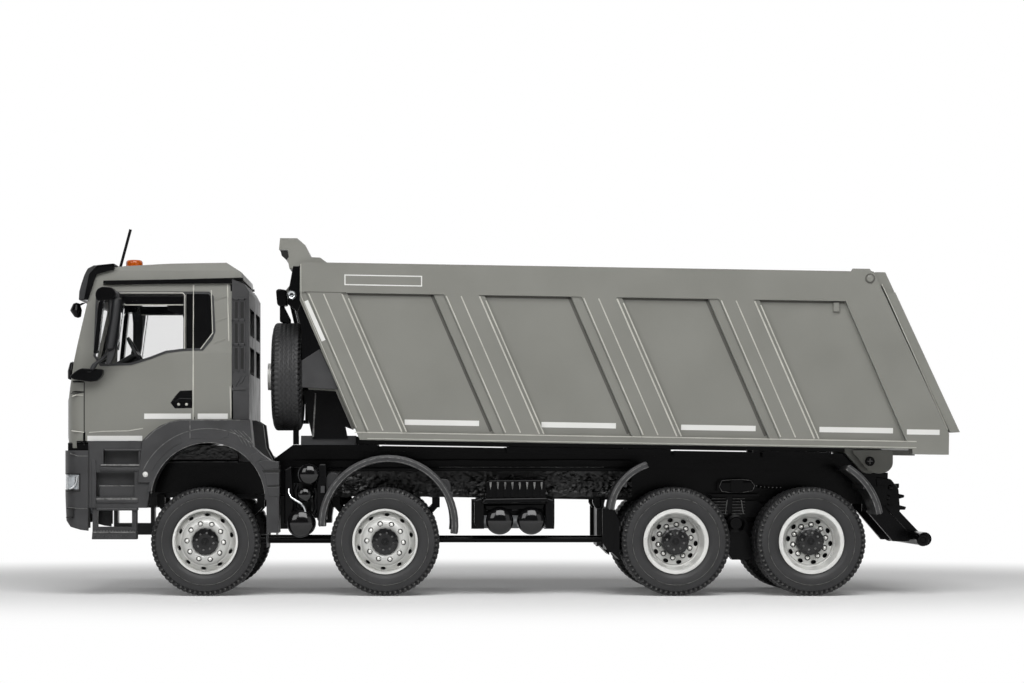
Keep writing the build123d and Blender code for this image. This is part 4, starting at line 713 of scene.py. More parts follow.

# Bumper, steps and lamps
# One black moulding with pockets for clear lamps; two step pockets behind it with ribbed treads; a
# lower step hung on two straps. The edges are painted grey as highlights.
piece("step_treads", [
    box(-84.07, -75.57, 25.68, 26.42, 22.0, 24.75), box(-84.89, -76.39, 19.12, 19.82, 22.0, 24.7),
    box(-84.5, -76.33, 19.73, 22.61, 21.6, 23.4), box(-84.93, -76.54, 17.56, 18.09, 21.4, 24.55),
    box(-85.96, -84.97, 18.09, 27.94, 22.4, 24.6), box(-83.29, -74.84, 29.79, 30.2, 22.4, 24.6),
], satin_black, bevel_mm=0.15)
# Grey painted highlights on the steps' edges and on the low tread's ribs
piece("step_edges", [
    box(-84.05, -75.88, 26.71, 27.08, 22.0, 24.72), box(-84.95, -76.46, 19.78, 20.15, 22.0, 24.68),
    box(-84.46, -76.46, 22.55, 22.73, 21.6, 23.45), box(-85.7, -76.9, 12.95, 13.2, 20.7, 24.44),
    *[box(x, x + 0.3, 13.2, 13.42, 20.9, 24.2) for x in np.arange(-85.4, -77.2, 0.6)],
], glint_grey, bevel_mm=0.05)
# Seams of the bumper, the fog lamp's pocket and its frame
piece("bumper_joints", [
    box(-86.53, -86.39, 13.99, 30.81, 22.0, 24.43), box(-91.17, -88.21, 24.95, 25.15, 22.0, 24.45),
    box(-88.46, -88.23, 21.58, 25.07, 22.0, 24.45), box(-91.17, -88.23, 21.46, 21.62, 22.0, 24.45),
    box(-91.17, -89.73, 17.89, 18.09, 22.0, 24.45), box(-89.94, -89.73, 16.04, 18.09, 22.0, 24.45),
    box(-91.17, -89.73, 16.04, 16.25, 22.0, 24.45),
], joint_dark)
# Grey painted highlights along the bumper's edges
piece("bumper_edges", slabs([
    (22.0, 24.46, [
        (-90.35, 29.38), (-88.71, 28.84), (-86.65, 28.84), (-86.65, 28.68), (-88.71, 28.68), (-90.35, 29.17),
    ]),
    (22.0, 24.46, [
        (-90.66, 18.3), (-88.71, 18.05), (-86.65, 18.05), (-86.65, 17.91), (-88.71, 17.91), (-90.66, 18.13),
    ]),
]), glint_grey)


def rod(path, y, half, sides=(-1, 1), turns=10):
    """A rod of one radius along a side-view path at distance y from the middle: rings stand across the
    way from point to point."""
    shapes = []
    for side in sides:
        line = np.insert(np.asarray(path, float), 1, y, axis=1) * [1, side, 1]
        way = unit(np.gradient(line, axis=0))
        first = unit(np.cross(way, [0.3, 0.9, 0.31]))
        second = np.cross(way, first)
        angle = circle(turns)[:, None]
        rings = line[:, None] + half * (np.cos(angle) * first[:, None] + np.sin(angle) * second[:, None])
        shapes.append((rings.reshape(-1, 3), capped_faces(len(line), turns)))
    return shape_joined(*shapes)


# Chromed ring and upright of the headlamp, on the outside of the lamp glass
lamp_hook = [(-89.02, 24.66), (-89.06, 23.84), (-89.27, 22.89), (-89.80, 22.28), (-90.46, 22.07)]
piece("headlamp_rings", [
    rod(lamp_hook, 24.35, 0.28), box(-88.83, -88.54, 21.99, 24.66, 23.4, 24.5),
], mirror_face, smooth=True)
piece("marker_lamps", studs([
    (0, 0.34), (0.3, 0.28), (0.56, 0.0), (0.56, -0.2), (0, -0.2),
], -74.85, 25.0, 24.98, 20), white_tape, smooth=True)

# The hanging step's tread: a black tray with a ribbed rim
piece("low_treads", [
    slab([(-85.79, 13.28), (-76.72, 13.28), (-76.72, 11.64), (-85.92, 11.64)], 20.5, 24.3),
    *[box(x, x + 0.3, 11.75, 12.5, 24.2, 24.42) for x in np.arange(-85.4, -77.2, 0.9)],
], satin_black, bevel_mm=0.1)

# Fenders
# Black moulded fenders; the first has raised bands round its arch, a lining of crinkled casting inside
# it, and ends behind in stacked blocks over a mud flap.
fender_face = 25.06


def arc(x, z, radius, start, end, count=24):
    """Points on a circle seen from the side, angles in degrees from the front, over the top."""
    angle = np.radians(np.linspace(start, end, count))
    return np.stack([x - radius * np.cos(angle), z + radius * np.sin(angle)], 1)


def arched(x, z, inner, outer, start, end, near, far, count=30):
    """A flat arch between two radii, as a plate between two distances from the middle."""
    ring = np.concatenate([arc(x, z, outer, start, end, count), arc(x, z, inner, end, start, count)])
    faces = [(i, i + 1, 2 * count + i + 1, 2 * count + i) for i in range(2 * count - 1)]
    faces += [(2 * count - 1, 0, 2 * count, 4 * count - 1)]
    for i in range(count - 1):
        front = (i, i + 1, 2 * count - 2 - i, 2 * count - 1 - i)
        faces += [front, tuple(2 * count + j for j in front[::-1])]
    return on_sides([np.insert(ring, 1, y, axis=1) for y in (near, far)], faces)


arch = (-62.0, 19.8)
piece("fender_bands", [
    arched(*arch, 11.75, 12.5, 8, 172, 24.9, fender_face), arched(*arch, 12.9, 14.5, 26, 66, 24.9, 25.1, 12),
    slab([(-65.56, 33.48), (-57.89, 33.88), (-57.77, 32.78), (-59.33, 32.08), (-65.56, 32.37)], 24.9, 25.1),
], satin_black, bevel_mm=0.05)
# Grey painted highlights along the arch, the band's edge and four short strokes
piece("fender_edges", [
    ribbons(fender_face, [
        (0.14, 0.0, arc(*arch, 14.6, 24, 128)), (0.12, 0.02, arc(*arch, 11.72, 6, 174)),
        (0.16, 0.0, [(-65.68, 36.14), (-65.68, 32.33)]),
        (0.14, 0.0, [(-74.91, 32.04), (-72.92, 34.01), (-69.98, 35.65), (-67.32, 36.1), (-55.43, 36.1)]),
    ]),
    *[
        ribbon([
            (x, 34.2 - 0.1 * i), (x + 1.5, 33.0 - 0.2 * i), (x + 2.6, 31.2 - 0.3 * i),
        ], 0.1, 0.0, fender_face)
        for i, x in enumerate((-57.4, -56.6, -55.8, -54.9))
    ],
], glint_grey)
# Stacked blocks behind the first wheel, and the dark joints between them
blocks = [
    [(-53.38, 28.96), (-51.74, 29.58), (-50.92, 28.14), (-52.56, 27.12)],
    [(-51.74, 27.53), (-50.1, 28.04), (-47.44, 27.53), (-47.44, 26.18), (-50.51, 25.97)],
    [(-50.39, 25.32), (-47.35, 25.32), (-47.35, 22.77), (-50.02, 22.65)],
    [(-49.98, 22.36), (-47.35, 22.49), (-47.35, 20.44), (-49.57, 20.27)],
]
piece("fender_blocks", [slab(block, 21.0, 25.12) for block in blocks], satin_black, bevel_mm=0.14)
piece("fender_block_joints", slabs([
    (21.0, 25.03, [(-50.92, 25.81), (-47.23, 26.01), (-47.23, 25.4), (-50.59, 25.36)]),
    (21.0, 25.03, [(-50.18, 22.61), (-47.23, 22.73), (-47.23, 22.45), (-50.1, 22.36)]),
]), joint_dark)
piece("arch_linings", [
    slab([(-71.6, 28.0), (-56.6, 28.0), (-56.6, 31.0), (-71.6, 31.2)], 7.5, 12.5),
    box(-71.6, -56.6, 27.4, 27.75, 7.5, 12.8),
], crinkle_black, bevel_mm=0.08)

# Frame sides, tanks and battery box
# The frame's sides keep the crinkle of their casting; the subframe over them shows two thin flanges.
# Glossy tanks with dished ends hang in brackets; the battery box has a ribbed lid.
rail_low, rail_high = 20.2, 25.6
columns, rows = 220, 22
grid_x, grid_t = np.meshgrid(np.linspace(-44.0, 26.0, columns), np.linspace(0, 1, rows), indexing="ij")
corner = columns * rows - 1
rim = [*range(rows), *range(2 * rows - 1, corner + 1, rows), *range(corner - 1, corner - rows, -1)]
rim = np.array(rim + [*range(corner + 1 - 2 * rows, 0, -rows)])
after = np.roll(rim, -1)
wave = np.sin(grid_t * 21 + grid_x * 0.9 + 2 * np.sin(grid_x * 1.3))
wave *= np.sin(grid_x * 2.1 + 5 * np.sin(grid_t * 9))
wave += 0.6 * np.sin(grid_x * 5.3 + 3 * np.sin(grid_t * 17 + grid_x)) * np.sin(grid_t * 37 + grid_x * 2.2)
edge = np.minimum(1, 6 * np.minimum(grid_t, 1 - grid_t))
crinkles = []
for side in (-1, 1):
    z = rail_low + (rail_high - rail_low) * grid_t + 0.12 * np.sin(grid_x * 1.7) * (grid_t < 0.02)
    front = np.stack([grid_x, side * (8.0 + 0.16 * wave * edge), z], -1).reshape(-1, 3)
    back = np.stack([grid_x, side * (7.5 + 0 * grid_x), z], -1).reshape(-1, 3)
    count = len(front)
    faces = grid_faces(columns, rows)
    faces += [tuple(i + count for i in reversed(face)) for face in faces]
    faces += [tuple(f) for f in np.stack([rim, rim + count, after + count, after], 1).tolist()]
    crinkles.append((np.concatenate([front, back]), faces))
piece("frame_sides", crinkles, crinkle_black, smooth=True)
piece("subframe_flanges", [
    box(-46.0, 26.0, 27.77, 28.06, 7.6, 9.0), box(-46.0, 26.0, 26.17, 26.43, 7.6, 9.4),
], black_abs, bevel_mm=0.1)


def dished_tank(x, z, radius, inner, outer):
    """A tank end: its radius closes over a dished end by the square root of what is left."""
    t = np.linspace(0, 1, 9)
    dish = [(radius * math.sqrt(max(1 - v**2, 0)), outer - radius * 0.45 + v * radius * 0.45) for v in t]
    profile = [
        (0, inner), (radius, inner), (radius, outer - radius * 0.55), (radius * 1.03, outer - radius * 0.5),
        *dish,
    ]
    return turned(profile, (x, 0, z), (0, -1, 0), 40)


# Polished domes, the only high gloss on the chassis
polished_black = skin("polished_black_domes", "#0a0a0b", 0.1, 1.6, 0.006, IOR=1.55)
piece("tank_ends", [
    dished_tank(-41.32, 24.99, 2.1, 22.6, 24.6), dished_tank(-42.96, 15.01, 2.75, 22.6, 24.7),
    dished_tank(-42.25, 20.76, 1.5, 18.0, 23.6), dished_tank(-2.17, 15.42, 2.75, 22.9, 24.8),
    dished_tank(4.32, 15.42, 2.75, 22.9, 24.8),
], polished_black, smooth=True)
piece("tank_brackets", [
    slabs([
        (15.0, 23.4, [
            (-39.68, 25.48), (-39.27, 27.12), (-37.83, 27.12), (-37.83, 15.62), (-38.65, 14.8),
            (-39.68, 15.62),
        ]),
        (15.0, 22.6, [(-46.46, 25.89), (-45.02, 26.71), (-44.61, 19.73), (-45.02, 13.98), (-46.46, 14.8)]),
        (8.0, 23.4, [
            (-7.32, 19.73), (-5.8, 20.14), (-5.39, 18.91), (-5.39, 13.86), (-6.62, 13.78), (-7.32, 14.8),
        ]),
        (8.0, 23.4, [(7.24, 18.91), (7.54, 20.14), (9.1, 19.73), (9.1, 14.8), (8.36, 13.78), (7.24, 13.86)]),
        (8.0, 24.6, [(-6.01, 18.99), (7.95, 19.32), (7.63, 20.22), (-5.27, 20.02)]),
        (8.0, 22.2, [(-5.39, 18.7), (7.34, 18.99), (6.93, 17.68), (-4.98, 17.47)]),
    ], left_only),
    slab([(17.73, 20.22), (19.45, 20.22), (19.45, 17.96), (18.43, 17.68), (17.73, 18.91)], 7.5, 9.5),
], black_abs, bevel_mm=0.25)
lid_ribs = [box(x, x + 0.75, 20.26, 23.43, 23.4, 24.3, left_only) for x in np.arange(-4.4, 7.0, 1.5)]
piece("battery_lid", [
    slabs([
        (22.6, 23.8, [(-4.86, 23.55), (7.21, 23.67), (7.3, 20.14), (-4.9, 20.02)]),
        (20.0, 24.2, [(-4.65, 23.26), (7.05, 23.38), (6.8, 23.84), (-4.36, 23.75)]),
    ], left_only),
    *lid_ribs,
], black_abs, bevel_mm=0.14)
# Grey painted highlights down the lid's ribs
piece("battery_lid_glints", [
    slab([
        (x + 0.32, 21.9), (x + 0.4, 21.9), (x + 0.55, 22.8), (x + 0.58, 23.4), (x + 0.14, 23.4),
        (x + 0.16, 22.8),
    ], 23.7, 24.36, left_only)
    for x in np.arange(-4.4, 7.0, 1.5)
], glint_grey)
# A bright bent pipe runs down between the air tanks, with two black hoses behind it
pipe_path = [
    (-45.55, 21.99), (-45.51, 21.17), (-45.02, 20.26), (-43.99, 19.61), (-42.96, 19.03), (-42.35, 18.29),
    (-42.06, 17.35), (-42.35, 16.44),
]
pipe_y = (23.0, 23.4, 23.8, 24.0, 24.0, 24.0, 23.8, 23.2)
piece("fuel_pipe", rod(pipe_path, pipe_y, 0.26, left_only), mirror_face, smooth=True)
piece("air_hoses", [
    rod([
        (-40.01, 22.19), (-39.8, 20.95), (-40.01, 19.51), (-39.8, 18.07), (-40.34, 16.84),
    ], 22.8, 0.42, left_only),
    rod([(-43.76, 23.01), (-44.13, 21.77), (-43.97, 20.13), (-43.43, 18.07)], 22.6, 0.42, left_only),
], black_abs, smooth=True)

# Second and third fenders
# Moulded half hoops with a rounded outer rib and two lips in grey painted highlights, the second hung from
# rounded plates.


def hoop(start, middle, end, shift, width, near, far):
    """A band along the circle through three points seen from the side, moved out by shift."""
    (ax, az), (bx, bz), (cx, cz) = start, middle, end
    lean = np.array([[bx - ax, bz - az], [cx - ax, cz - az]])
    centre = np.linalg.solve(2 * lean, [bx**2 + bz**2 - ax**2 - az**2, cx**2 + cz**2 - ax**2 - az**2])
    radius = math.hypot(ax - centre[0], az - centre[1]) + shift
    turn = [math.degrees(math.atan2(z - centre[1], centre[0] - x)) for x, z in (start, end)]
    turn[1] += 360 * (turn[1] < turn[0])
    return arched(*centre, radius - width / 2, radius + width / 2, *turn, near, far)


hoops = [
    ((-38.6, 14.3), (-25.2, 28.15), (-11.6, 12.8)), ((20.7, 17.7), (23.2, 23.6), (28.2, 26.9)),
    ((69.0, 26.4), (73.3, 22.4), (75.6, 16.8)),
]
piece("hoop_ribs", [hoop(*points, 0.1, 1.5, 24.0, 25.0) for points in hoops], satin_black, bevel_mm=0.4)
# Grey painted highlights along both lips
piece("hoop_lips", [
    hoop(*points, shift, 0.16, 24.4, 25.04) for points in hoops for shift in (0.32, -0.42)
], glint_grey)
piece("hoop_plates", slabs([
    (7.8, 21.5, rounded([
        (-38.04, 19.69), (-37.83, 24.65), (-37.13, 25.35), (-35.89, 25.35), (-35.15, 24.65), (-35.48, 22.99),
        (-36.72, 20.52),
    ], 0.7)),
    (7.8, 21.5, rounded([
        (-14.9, 23.41), (-14.2, 24.11), (-12.55, 23.9), (-12.14, 22.58), (-12.22, 19.07), (-13.17, 20.52),
        (-14.2, 22.17),
    ], 0.7)),
]), satin_black, bevel_mm=0.2)

# Tipping body
# Die-cast body, sprayed with the cab's grey; white strips are printed between the ribs. Its outer skin,
# the ribs' shoulders and the panels between them lie at three distances from the middle.
bed_plane, shoulder_face, panel_face = 25.0, 24.65, 23.9
pivot_x, pivot_z = 75.6, 27.7
bed_fall = math.radians(0.95)
rib_pitch = 28.2
rib_lean = 0.4543
bed_rim = 32.7
rib_starts = [-120.3 + rib_pitch * count for count in range(4)]


def raked(u, w):
    """World X and Z of a point in the body's own coordinates, which turn about the pivot by its fall."""
    x = pivot_x + u * math.cos(bed_fall) + w * math.sin(bed_fall)
    return x, pivot_z - u * math.sin(bed_fall) + w * math.cos(bed_fall)


def rib_line(start, w_low, w_high):
    """A line along a rib, which moves forward by its lean for each millimetre that it rises and meets
    the bed's rim at start."""
    return [raked(start + (bed_rim - w) * rib_lean, w) for w in (w_low, w_high)]


# Cast ribs: each has a shoulder, a crest with two beads, and a double fold at its rear edge
# The beads, the folds and the lines along the rails and the front and rear edges are pale painted highlights
folds = []
for start in rib_starts:
    for shift in (2.67, 5.72):
        folds.append(ribbon(rib_line(start + shift, 4.6, 32.4), 0.24, 0.1, bed_plane))
    folds.append(ribbon(rib_line(start + 9.5, 4.4, 32.4), 0.3, 0.12, bed_plane))
    folds.append(ribbon(rib_line(start + 10.45, 4.4, 31.6), 0.26, 0.12, shoulder_face))
folds.append(ribbons(bed_plane, [
    (0.2, 0.08, [raked(u, 4.15) for u in (-107.6, -60.0, -12.0, 7.6)]),
    (0.14, 0.05, [raked(u, 2.9) for u in (-105.0, 7.6)]),
    (0.14, 0.08, [(-42.97, 68.12), (-42.92, 61.56), (-31.53, 34.5)]),
    (0.12, 0.06, [(76.18, 64.02), (89.71, 34.09)]),
]))
piece("rib_folds", folds, edge_highlight, "bed")
# Painted shade in the corners where the ribs and rails stand on the panels
corner_shade = skin("painted_shade_in_corners", "#4b4a45", 0.5, 0.5, 0.01, mottle=0.1, IOR=1.5)
coves = []
for count, start in enumerate(rib_starts + [rib_starts[0] + 4 * rib_pitch + 1.2]):
    coves.append(ribbon(rib_line(start - 0.22, 4.8, 32.6), 0.62, 0.03, panel_face))
    if count < 4:
        coves.append(ribbon([
            raked(start + shift, 32.55) for shift in (10.6, rib_pitch)
        ], 0.6, 0.03, panel_face))
coves.append(ribbon([raked(u, 32.75) for u in (-118.4, -109.8)], 0.16, 0.02, bed_plane))
piece("panel_coves", coves, corner_shade, "bed")

# White printed strips, and an empty printed frame on the top rail
strips = [
    ribbons(panel_face, [
        (1.1, 0.04, [(-21.7, 35.7), (-6.4, 35.45)]), (1.1, 0.04, [(6.4, 35.2), (21.7, 34.95)]),
        (1.1, 0.04, [(35.1, 34.65), (50.4, 34.4)]), (1.1, 0.04, [(63.5, 34.2), (78.6, 33.95)]),
    ]),
    ribbon([(81.3, 33.7), (88.0, 33.6)], 1.05, 0.04, bed_plane),
    ribbon([(-41.9, 60.6), (-38.3, 52.4)], 0.85, 0.04, shoulder_face),
    ribbon([
        (-33.91, 65.86), (-18.2, 65.58), (-18.2, 63.61), (-33.91, 63.9),
    ], 0.22, 0.04, bed_plane, loop=True),
]
piece("bed_strips", strips, white_tape, "bed")
# Gate pins with their washers, and the latch stop near the rear post
piece("gate_pins", [
    studs([(0, 0.42), (0.6, 0.4), (0.78, 0.25), (0.78, -0.3), (0, -0.3)], 73.76, 25.0, 65.15, 28),
    box(66.31, 67.54, 58.42, 60.23, 23.8, 24.6),
], grey_paint, "bed", bevel_mm=0.1)
# A dark ring round each pin is painted shade
piece("gate_pin_joints", studs([
    (0.8, 0.1), (1.02, 0.1), (1.02, -0.2), (0.8, -0.2), (0.8, 0.1),
], 73.76, 25.0, 65.15, 28), corner_shade, "bed")


def bearer(x, end, low, high):
    """A bar under the bed between two X, whose low and high edges follow the bed's fall."""
    edge = [(x, low), (end, low), (end, high), (x, high)]
    return [(at, pivot_z + level + (pivot_x - at) * bed_slope) for at, level in edge]


# Black bars close most of the gap between the bed and the subframe, and two runners lie on them
piece("bed_bearers", slabs([
    (10.0, 11.1, bearer(-43.0, -27.4, 0.4, 1.75)), (10.0, 11.1, bearer(-26.6, -0.8, 0.4, 1.55)),
    (10.0, 11.1, bearer(-0.4, 34.0, 0.4, 1.78)), (10.0, 11.1, bearer(34.6, 52.6, 0.4, 1.55)),
    (10.0, 11.1, bearer(53.2, 67.6, 0.4, 1.75)),
]), black_abs)
piece("bed_runners", slab(bearer(-40.0, 70.4, 1.9, 3.4), 9.4, 11.0), black_abs, "bed")
# Stay plates coloured black as painted shade, and a bright ring with its stud at the front corner of the bed
piece("corner_stays", slabs([
    (22.8, 24.06, [
        (-44.6, 67.77), (-42.88, 67.77), (-42.55, 60.99), (-43.78, 58.32), (-45.71, 59.97), (-45.51, 62.84),
    ]),
    (22.8, 24.04, [(-43.68, 58.32), (-42.55, 61.2), (-38.73, 50.73), (-42.76, 48.27), (-42.84, 54.63)]),
]), black_abs, "bed", bevel_mm=0.1)
# A near-black plate on the grey front wall is painted shade
piece("front_wall_shade_plate", slab([
    (-42.88, 48.35), (-39.14, 50.73), (-34.95, 42.39), (-42.88, 42.85),
], 22.6, 24.1), satin_black, "bed", bevel_mm=0.12)
ring = [(0.42, -0.3), (0.42, 0.3), (0.6, 0.42), (0.82, 0.42), (0.98, 0.25), (0.98, -0.3), (0.42, -0.3)]
stud = [(0, 0.3), (0.28, 0.26), (0.4, 0.1), (0.4, -0.3), (0, -0.3)]
piece("pivot_rings", [
    studs(ring, -44.88, 24.1, 61.8, 28), studs(stud, -44.88, 24.1, 61.8, 20),
], mirror_face, "bed", smooth=True)
piece("spare_hooks", slabs([
    (12.0, 16.4, rounded([
        (-48.49, 63.2), (-47.95, 63.54), (-46.28, 63.29), (-46.07, 60.08), (-47.53, 59.78), (-48.24, 60.28),
    ], 0.5)),
    (13.0, 15.4, [(-47.74, 60.08), (-46.91, 60.08), (-45.45, 57.16), (-45.45, 55.91), (-47.74, 56.74)]),
], left_only), black_abs, "bed", bevel_mm=0.3)

# A black screen on the oil tank closes the view beside the cylinder, with a pale strip in front as a painted
# highlight on the tank's edge
piece("cylinder_screen", slab([
    (-42.81, 42.48), (-35.97, 42.48), (-32.32, 34.18), (-33.98, 34.8), (-33.48, 32.32), (-40.82, 32.32),
    (-42.48, 39.99),
], 16.9, 17.5, left_only), black_abs)
piece("tank_edge_highlight", slab([
    (-40.34, 41.85), (-40.05, 41.85), (-40.54, 32.73), (-40.88, 32.73),
], 17.4, 17.8, left_only), glint_grey)

# The rear flaps' black faces, a glint along the subframe, and the shade under the headboard's lip
piece("flap_faces", slab([
    (18.87, 17.98), (21.2, 18.39), (21.2, 9.08), (20.3, 9.0), (18.87, 10.92),
], 24.5, 24.84), black_abs)
piece("subframe_glints", box(-14.58, 19.97, 26.43, 26.51, 11.1, 11.3), glint_grey)
piece("lip_shade", slab([
    (-47.19, 70.97), (-45.71, 70.97), (-45.47, 69.7), (-45.96, 69.0), (-46.94, 69.9),
], 23.6, 24.08), joint_dark, "bed")

# Rear springs, hook and tail
# Black mouldings: leaf packs between the twins, over the trunnion's cap; a chain hangs on the frame;
# the tail has a bracket with two jaws, and the bar on its arms has capped ends.
leaf_lines = [
    slab([(42.39, z), (49.72, z), (49.72, z + 0.34), (42.39, z + 0.34)], 8.0, 11.0 - 0.05 * i)
    for i, z in enumerate(np.linspace(16.46, 20.23, 6))
]
piece("spring_leaves", [
    *leaf_lines,
    slabs([
        (8.0, 11.3, [(45.5, 20.44), (46.96, 20.44), (46.75, 16.67), (45.92, 16.67)]),
        (7.6, 11.2, [(41.75, 20.86), (52.63, 20.86), (52.22, 20.23), (42.58, 20.23)]),
    ]),
], black_abs, bevel_mm=0.08)
# Grey painted highlights along the leaves and the clamps
piece("leaf_glints", [
    *[box(42.6, 49.51, z, z + 0.07, 10.9, 11.12) for z in np.linspace(16.67, 19.81, 6)],
    slabs([
        (10.9, 11.36, [(45.7, 19.6), (45.82, 19.6), (45.49, 16.67), (45.36, 16.67)]),
        (10.9, 11.36, [(48.63, 19.6), (48.75, 19.6), (49.25, 16.67), (49.13, 16.67)]),
    ]),
], glint_grey)
piece("trunnion_caps", [
    studs([
        (0, 1.0), (1.2, 1.0), (1.4, 0.8), (1.42, 0.4), (1.9, 0.3), (1.95, -3.0), (0, -3.0),
    ], 47.33, 13.4, 14.73, 36),
    slab([
        (45.67, 12.96), (49.21, 13.37), (51.5, 10.25), (50.67, 7.12), (46.71, 7.12), (44.83, 10.04),
    ], 8.0, 12.6),
], black_abs, smooth=True)
loop_path = [
    (44.08, 22.43), (44.6, 23.62), (46.49, 23.83), (48.99, 23.92), (50.67, 23.66), (51.5, 22.54),
    (51.0, 21.53), (48.99, 21.2), (46.49, 21.16), (44.6, 21.41), (44.08, 22.43),
]
links = [
    (51.92, 22.49), (52.76, 22.33), (53.6, 22.24), (54.43, 22.2), (55.27, 22.18), (56.11, 22.16),
    (56.94, 22.16),
]
piece("hook_and_chain", [
    rod(loop_path, 11.6, 0.16, left_only),
    slabs([
        (7.6, 11.9, [(46.49, 23.79), (48.99, 23.87), (48.99, 21.16), (46.49, 21.16)]),
        (7.6, 11.3, [(43.77, 23.16), (51.92, 23.29), (51.92, 21.49), (43.77, 21.49)]),
    ], left_only),
    *[
        turned([(0, 0.3), (0.22, 0.22), (0.3, 0.0), (0.3, -3.6), (0, -3.6)], (x, -11.3, z), (0, -1, 0), 10)
        for x, z in links
    ],
], black_abs, smooth=True)
# Grey painted highlights on the hook's loop and the chain's links
piece("chain_glints", [
    rod(loop_path, 11.75, 0.07, left_only, 6),
    *[
        turned([
            (0, 0.1), (0.1, 0.06), (0.14, 0.0), (0.14, -0.3), (0, -0.3),
        ], (x, -11.6, z + 0.05), (0, -1, 0), 8)
        for x, z in links
    ],
], glint_grey)
piece("rear_flaps", slab([
    (19.86, 17.88), (21.18, 18.5), (22.45, 15.21), (22.45, 7.41), (19.78, 10.08),
], 12.0, 24.2), black_abs, bevel_mm=0.1)
piece("tail_brackets", [
    slabs([
        (6.6, 7.75, rounded([
            (77.31, 24.41), (80.6, 24.0), (81.6, 22.6), (82.2, 21.9), (82.55, 17.07), (81.29, 16.23),
            (78.77, 17.49), (77.93, 19.59),
        ], 0.6)),
        (6.0, 7.7, [(82.1, 20.9), (83.4, 20.6), (83.4, 20.1), (82.3, 19.8)]),
        (6.0, 7.7, [(82.13, 18.54), (83.81, 18.12), (83.6, 17.49), (82.55, 17.49)]),
    ]),
    *[
        studs([(0, 0.25), (0.4, 0.2), (0.6, 0.0), (0.6, -0.4), (0, -0.4)], x, 7.8, z, 18)
        for x, z in [(79.95, 20.09), (80.5, 22.2), (79.61, 18.33)]
    ],
], black_abs, bevel_mm=0.15)
# Bar ends: a rounded cap with a pressed centre
piece("bar_caps", studs([
    (0, 0.25), (0.5, 0.25), (0.6, 0.4), (1.05, 0.4), (1.3, 0.15), (1.3, -0.6), (0, -0.6),
], 84.82, 23.5, 11.51, 36), black_abs, smooth=True)
# Tipping pivot: grey cheeks on the bed's lugs, and the pin's head with a cross slot drawn as a grey painted
# highlight
piece("pivot_cheeks", slab(rounded([
    (71.65, 30.07), (80.44, 30.07), (80.44, 26.72), (79.39, 25.46), (77.3, 25.04), (75.21, 25.67),
    (73.74, 27.35),
], 0.8), 11.25, 11.6), grey_paint, "bed", bevel_mm=0.1)
piece("pivot_heads", studs([
    (0, 0.35), (0.85, 0.35), (1.0, 0.15), (1.0, -0.4), (0, -0.4),
], pivot_x, 11.6, pivot_z, 28), black_abs, "bed", smooth=True)
piece("pivot_slots", [
    box(75.0, 76.2, 27.58, 27.82, 11.6, 11.98), box(75.48, 75.72, 27.1, 28.3, 11.6, 11.99),
], glint_grey, "bed")

# Tipping cylinder and bright metal
# Drawn steel tubes that slide in each other, chromed; tanks of bare aluminium.
chrome = skin("bright_chrome", "#c4c5c6", 0.12, 0.5, 0.004, mottle=0.05, Metallic=1.0)
give(chrome, "cylinder_stage_1", "cylinder_stage_2", "cylinder_rod")
give(black_abs, "cylinder_barrel")
aluminium = skin("bare_aluminium", "#a9abad", 0.35, 0.3, 0.01, mottle=0.06, Metallic=1.0)
give(aluminium, "fuel_tank")

# Studio
# A white board before white paper; one broad lamp overhead, one from the camera's left, a weak fill.
paper_lift = 0.06


def floor_material():
    """A white board. The camera, and what mirrors it, sees it as white paper but for the truck's shadow,
    and as paper alone outside an oval round the truck, which fades between 1.0 and 2.1 times 125 mm
    along it and 100 mm across it."""
    material, tree, place = new_material("white_board")
    fibre = add_node(tree, "ShaderNodeTexNoise", {"Scale": 900, "Detail": 2}, {"Vector": place})
    bump = add_node(tree, "ShaderNodeBump", {"Strength": 0.1, "Distance": 0.00005}, {"Height": fibre})
    matt = {"Base Color": linear("#fafafa"), "Roughness": 0.8}
    board = add_node(tree, "ShaderNodeBsdfPrincipled", matt, {"Normal": bump})
    rays = add_node(tree, "ShaderNodeLightPath").outputs
    direct = {0: rays["Is Camera Ray"], 1: rays["Is Transmission Ray"]}
    straight = add_node(tree, "ShaderNodeMath", links=direct, operation="MAXIMUM")
    mirrored = {0: straight, 1: rays["Is Glossy Ray"]}
    seen = add_node(tree, "ShaderNodeMath", links=mirrored, operation="MAXIMUM")
    lift = add_node(tree, "ShaderNodeMath", {1: paper_lift}, {0: seen}, operation="MULTIPLY")
    glow = add_node(tree, "ShaderNodeEmission", {"Color": (1, 1, 1, 1)}, {"Strength": lift})
    near = add_node(tree, "ShaderNodeAddShader", links={0: board, 1: glow})
    oval = {1: (8.0, 10.0, 0.0), 2: (0.0, -0.45, 0.0)}
    outline = add_node(tree, "ShaderNodeVectorMath", oval, {0: place}, operation="MULTIPLY_ADD")
    reach = add_node(tree, "ShaderNodeVectorMath", links={0: outline}, operation="LENGTH").outputs["Value"]
    fade = {"From Min": 1.0, "From Max": 2.1}
    far = add_node(tree, "ShaderNodeMapRange", fade, {"Value": reach}, interpolation_type="SMOOTHSTEP")
    blend = add_node(tree, "ShaderNodeMath", links={0: far, 1: seen}, operation="MULTIPLY")
    paper = add_node(tree, "ShaderNodeEmission", {"Color": (1, 1, 1, 1), "Strength": 1.0})
    look = add_node(tree, "ShaderNodeMixShader", links={0: blend, 1: near, 2: paper})
    add_node(tree, "ShaderNodeOutputMaterial", links={"Surface": look})
    return material


floor_mesh = bpy.data.meshes.new("floor")
floor_mesh.from_pydata([(-3, -3, 0), (3, -3, 0), (3, 3, 0), (-3, 3, 0)], [], [(0, 1, 2, 3)])
floor_mesh.materials.append(floor_material())
floor = bpy.data.objects.new("floor", floor_mesh)
bpy.context.scene.collection.objects.link(floor)

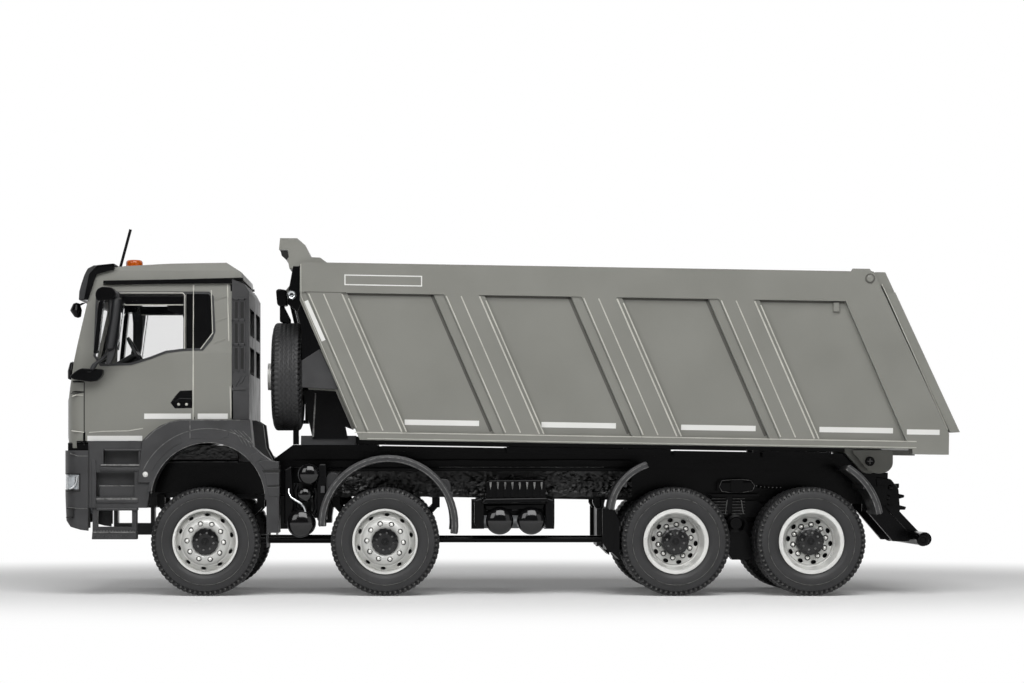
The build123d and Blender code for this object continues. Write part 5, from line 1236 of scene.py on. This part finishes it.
for name, place, size, watts in [
    ("overhead", (0.05, -0.55, 0.5), 0.5, 4.2),
    ("key", (-0.5, -0.7, 0.42), 0.45, 2.0),
    ("fill", (0.7, -0.8, 0.3), 0.6, 0.6),
]:
    lamp = bpy.data.lights.new(name, "AREA")
    lamp.size = size
    lamp.energy = watts
    lamp_object = bpy.data.objects.new(name, lamp)
    lamp_object.location = place
    lamp_object.rotation_mode = "QUATERNION"
    lamp_object.rotation_quaternion = (Vector((0, 0, 0.03)) - Vector(place)).to_track_quat("-Z", "Y")
    bpy.context.scene.collection.objects.link(lamp_object)

world = bpy.data.worlds.new("studio")
world.use_nodes = True
bpy.context.scene.world = world
sky = world.node_tree
sky.nodes.clear()
# Dim light from all round, a white wall behind the truck that gloss shows, white paper for the camera
rays = add_node(sky, "ShaderNodeLightPath").outputs
direct = {0: rays["Is Camera Ray"], 1: rays["Is Transmission Ray"]}
straight = add_node(sky, "ShaderNodeMath", links=direct, operation="MAXIMUM")
heading = add_node(sky, "ShaderNodeTexCoord").outputs["Generated"]
depth = add_node(sky, "ShaderNodeSeparateXYZ", links={0: heading}).outputs["Y"]
rise = {"From Min": -0.1, "From Max": 0.5, "To Min": 0.05, "To Max": 1.0}
wall = add_node(sky, "ShaderNodeMapRange", rise, {"Value": depth}, interpolation_type="SMOOTHSTEP")
mirrored = add_node(sky, "ShaderNodeBackground", {"Color": (1, 1, 1, 1)}, {"Strength": wall})
soft_light = add_node(sky, "ShaderNodeBackground", {"Color": (1, 1, 1, 1), "Strength": 0.12})
paper = add_node(sky, "ShaderNodeBackground", {"Color": (1, 1, 1, 1), "Strength": 1.0})
lit = add_node(sky, "ShaderNodeMixShader", links={0: rays["Is Glossy Ray"], 1: soft_light, 2: mirrored})
mixed = add_node(sky, "ShaderNodeMixShader", links={0: straight, 1: lit, 2: paper})
add_node(sky, "ShaderNodeOutputWorld", links={"Surface": mixed})

camera = bpy.data.cameras.new("camera")
camera.lens = 110.6
camera.sensor_width = 36
camera.shift_x = 0.084
camera.shift_y = 0.1235
camera.clip_start = 0.05
camera.clip_end = 10
camera_object = bpy.data.objects.new("camera", camera)
camera_object.location = (-0.0173, -0.670, 0.0263)
camera_object.rotation_euler = (math.radians(90), 0, 0)
bpy.context.scene.collection.objects.link(camera_object)
bpy.context.scene.camera = camera_object
bpy.context.scene.view_settings.view_transform = "Standard"
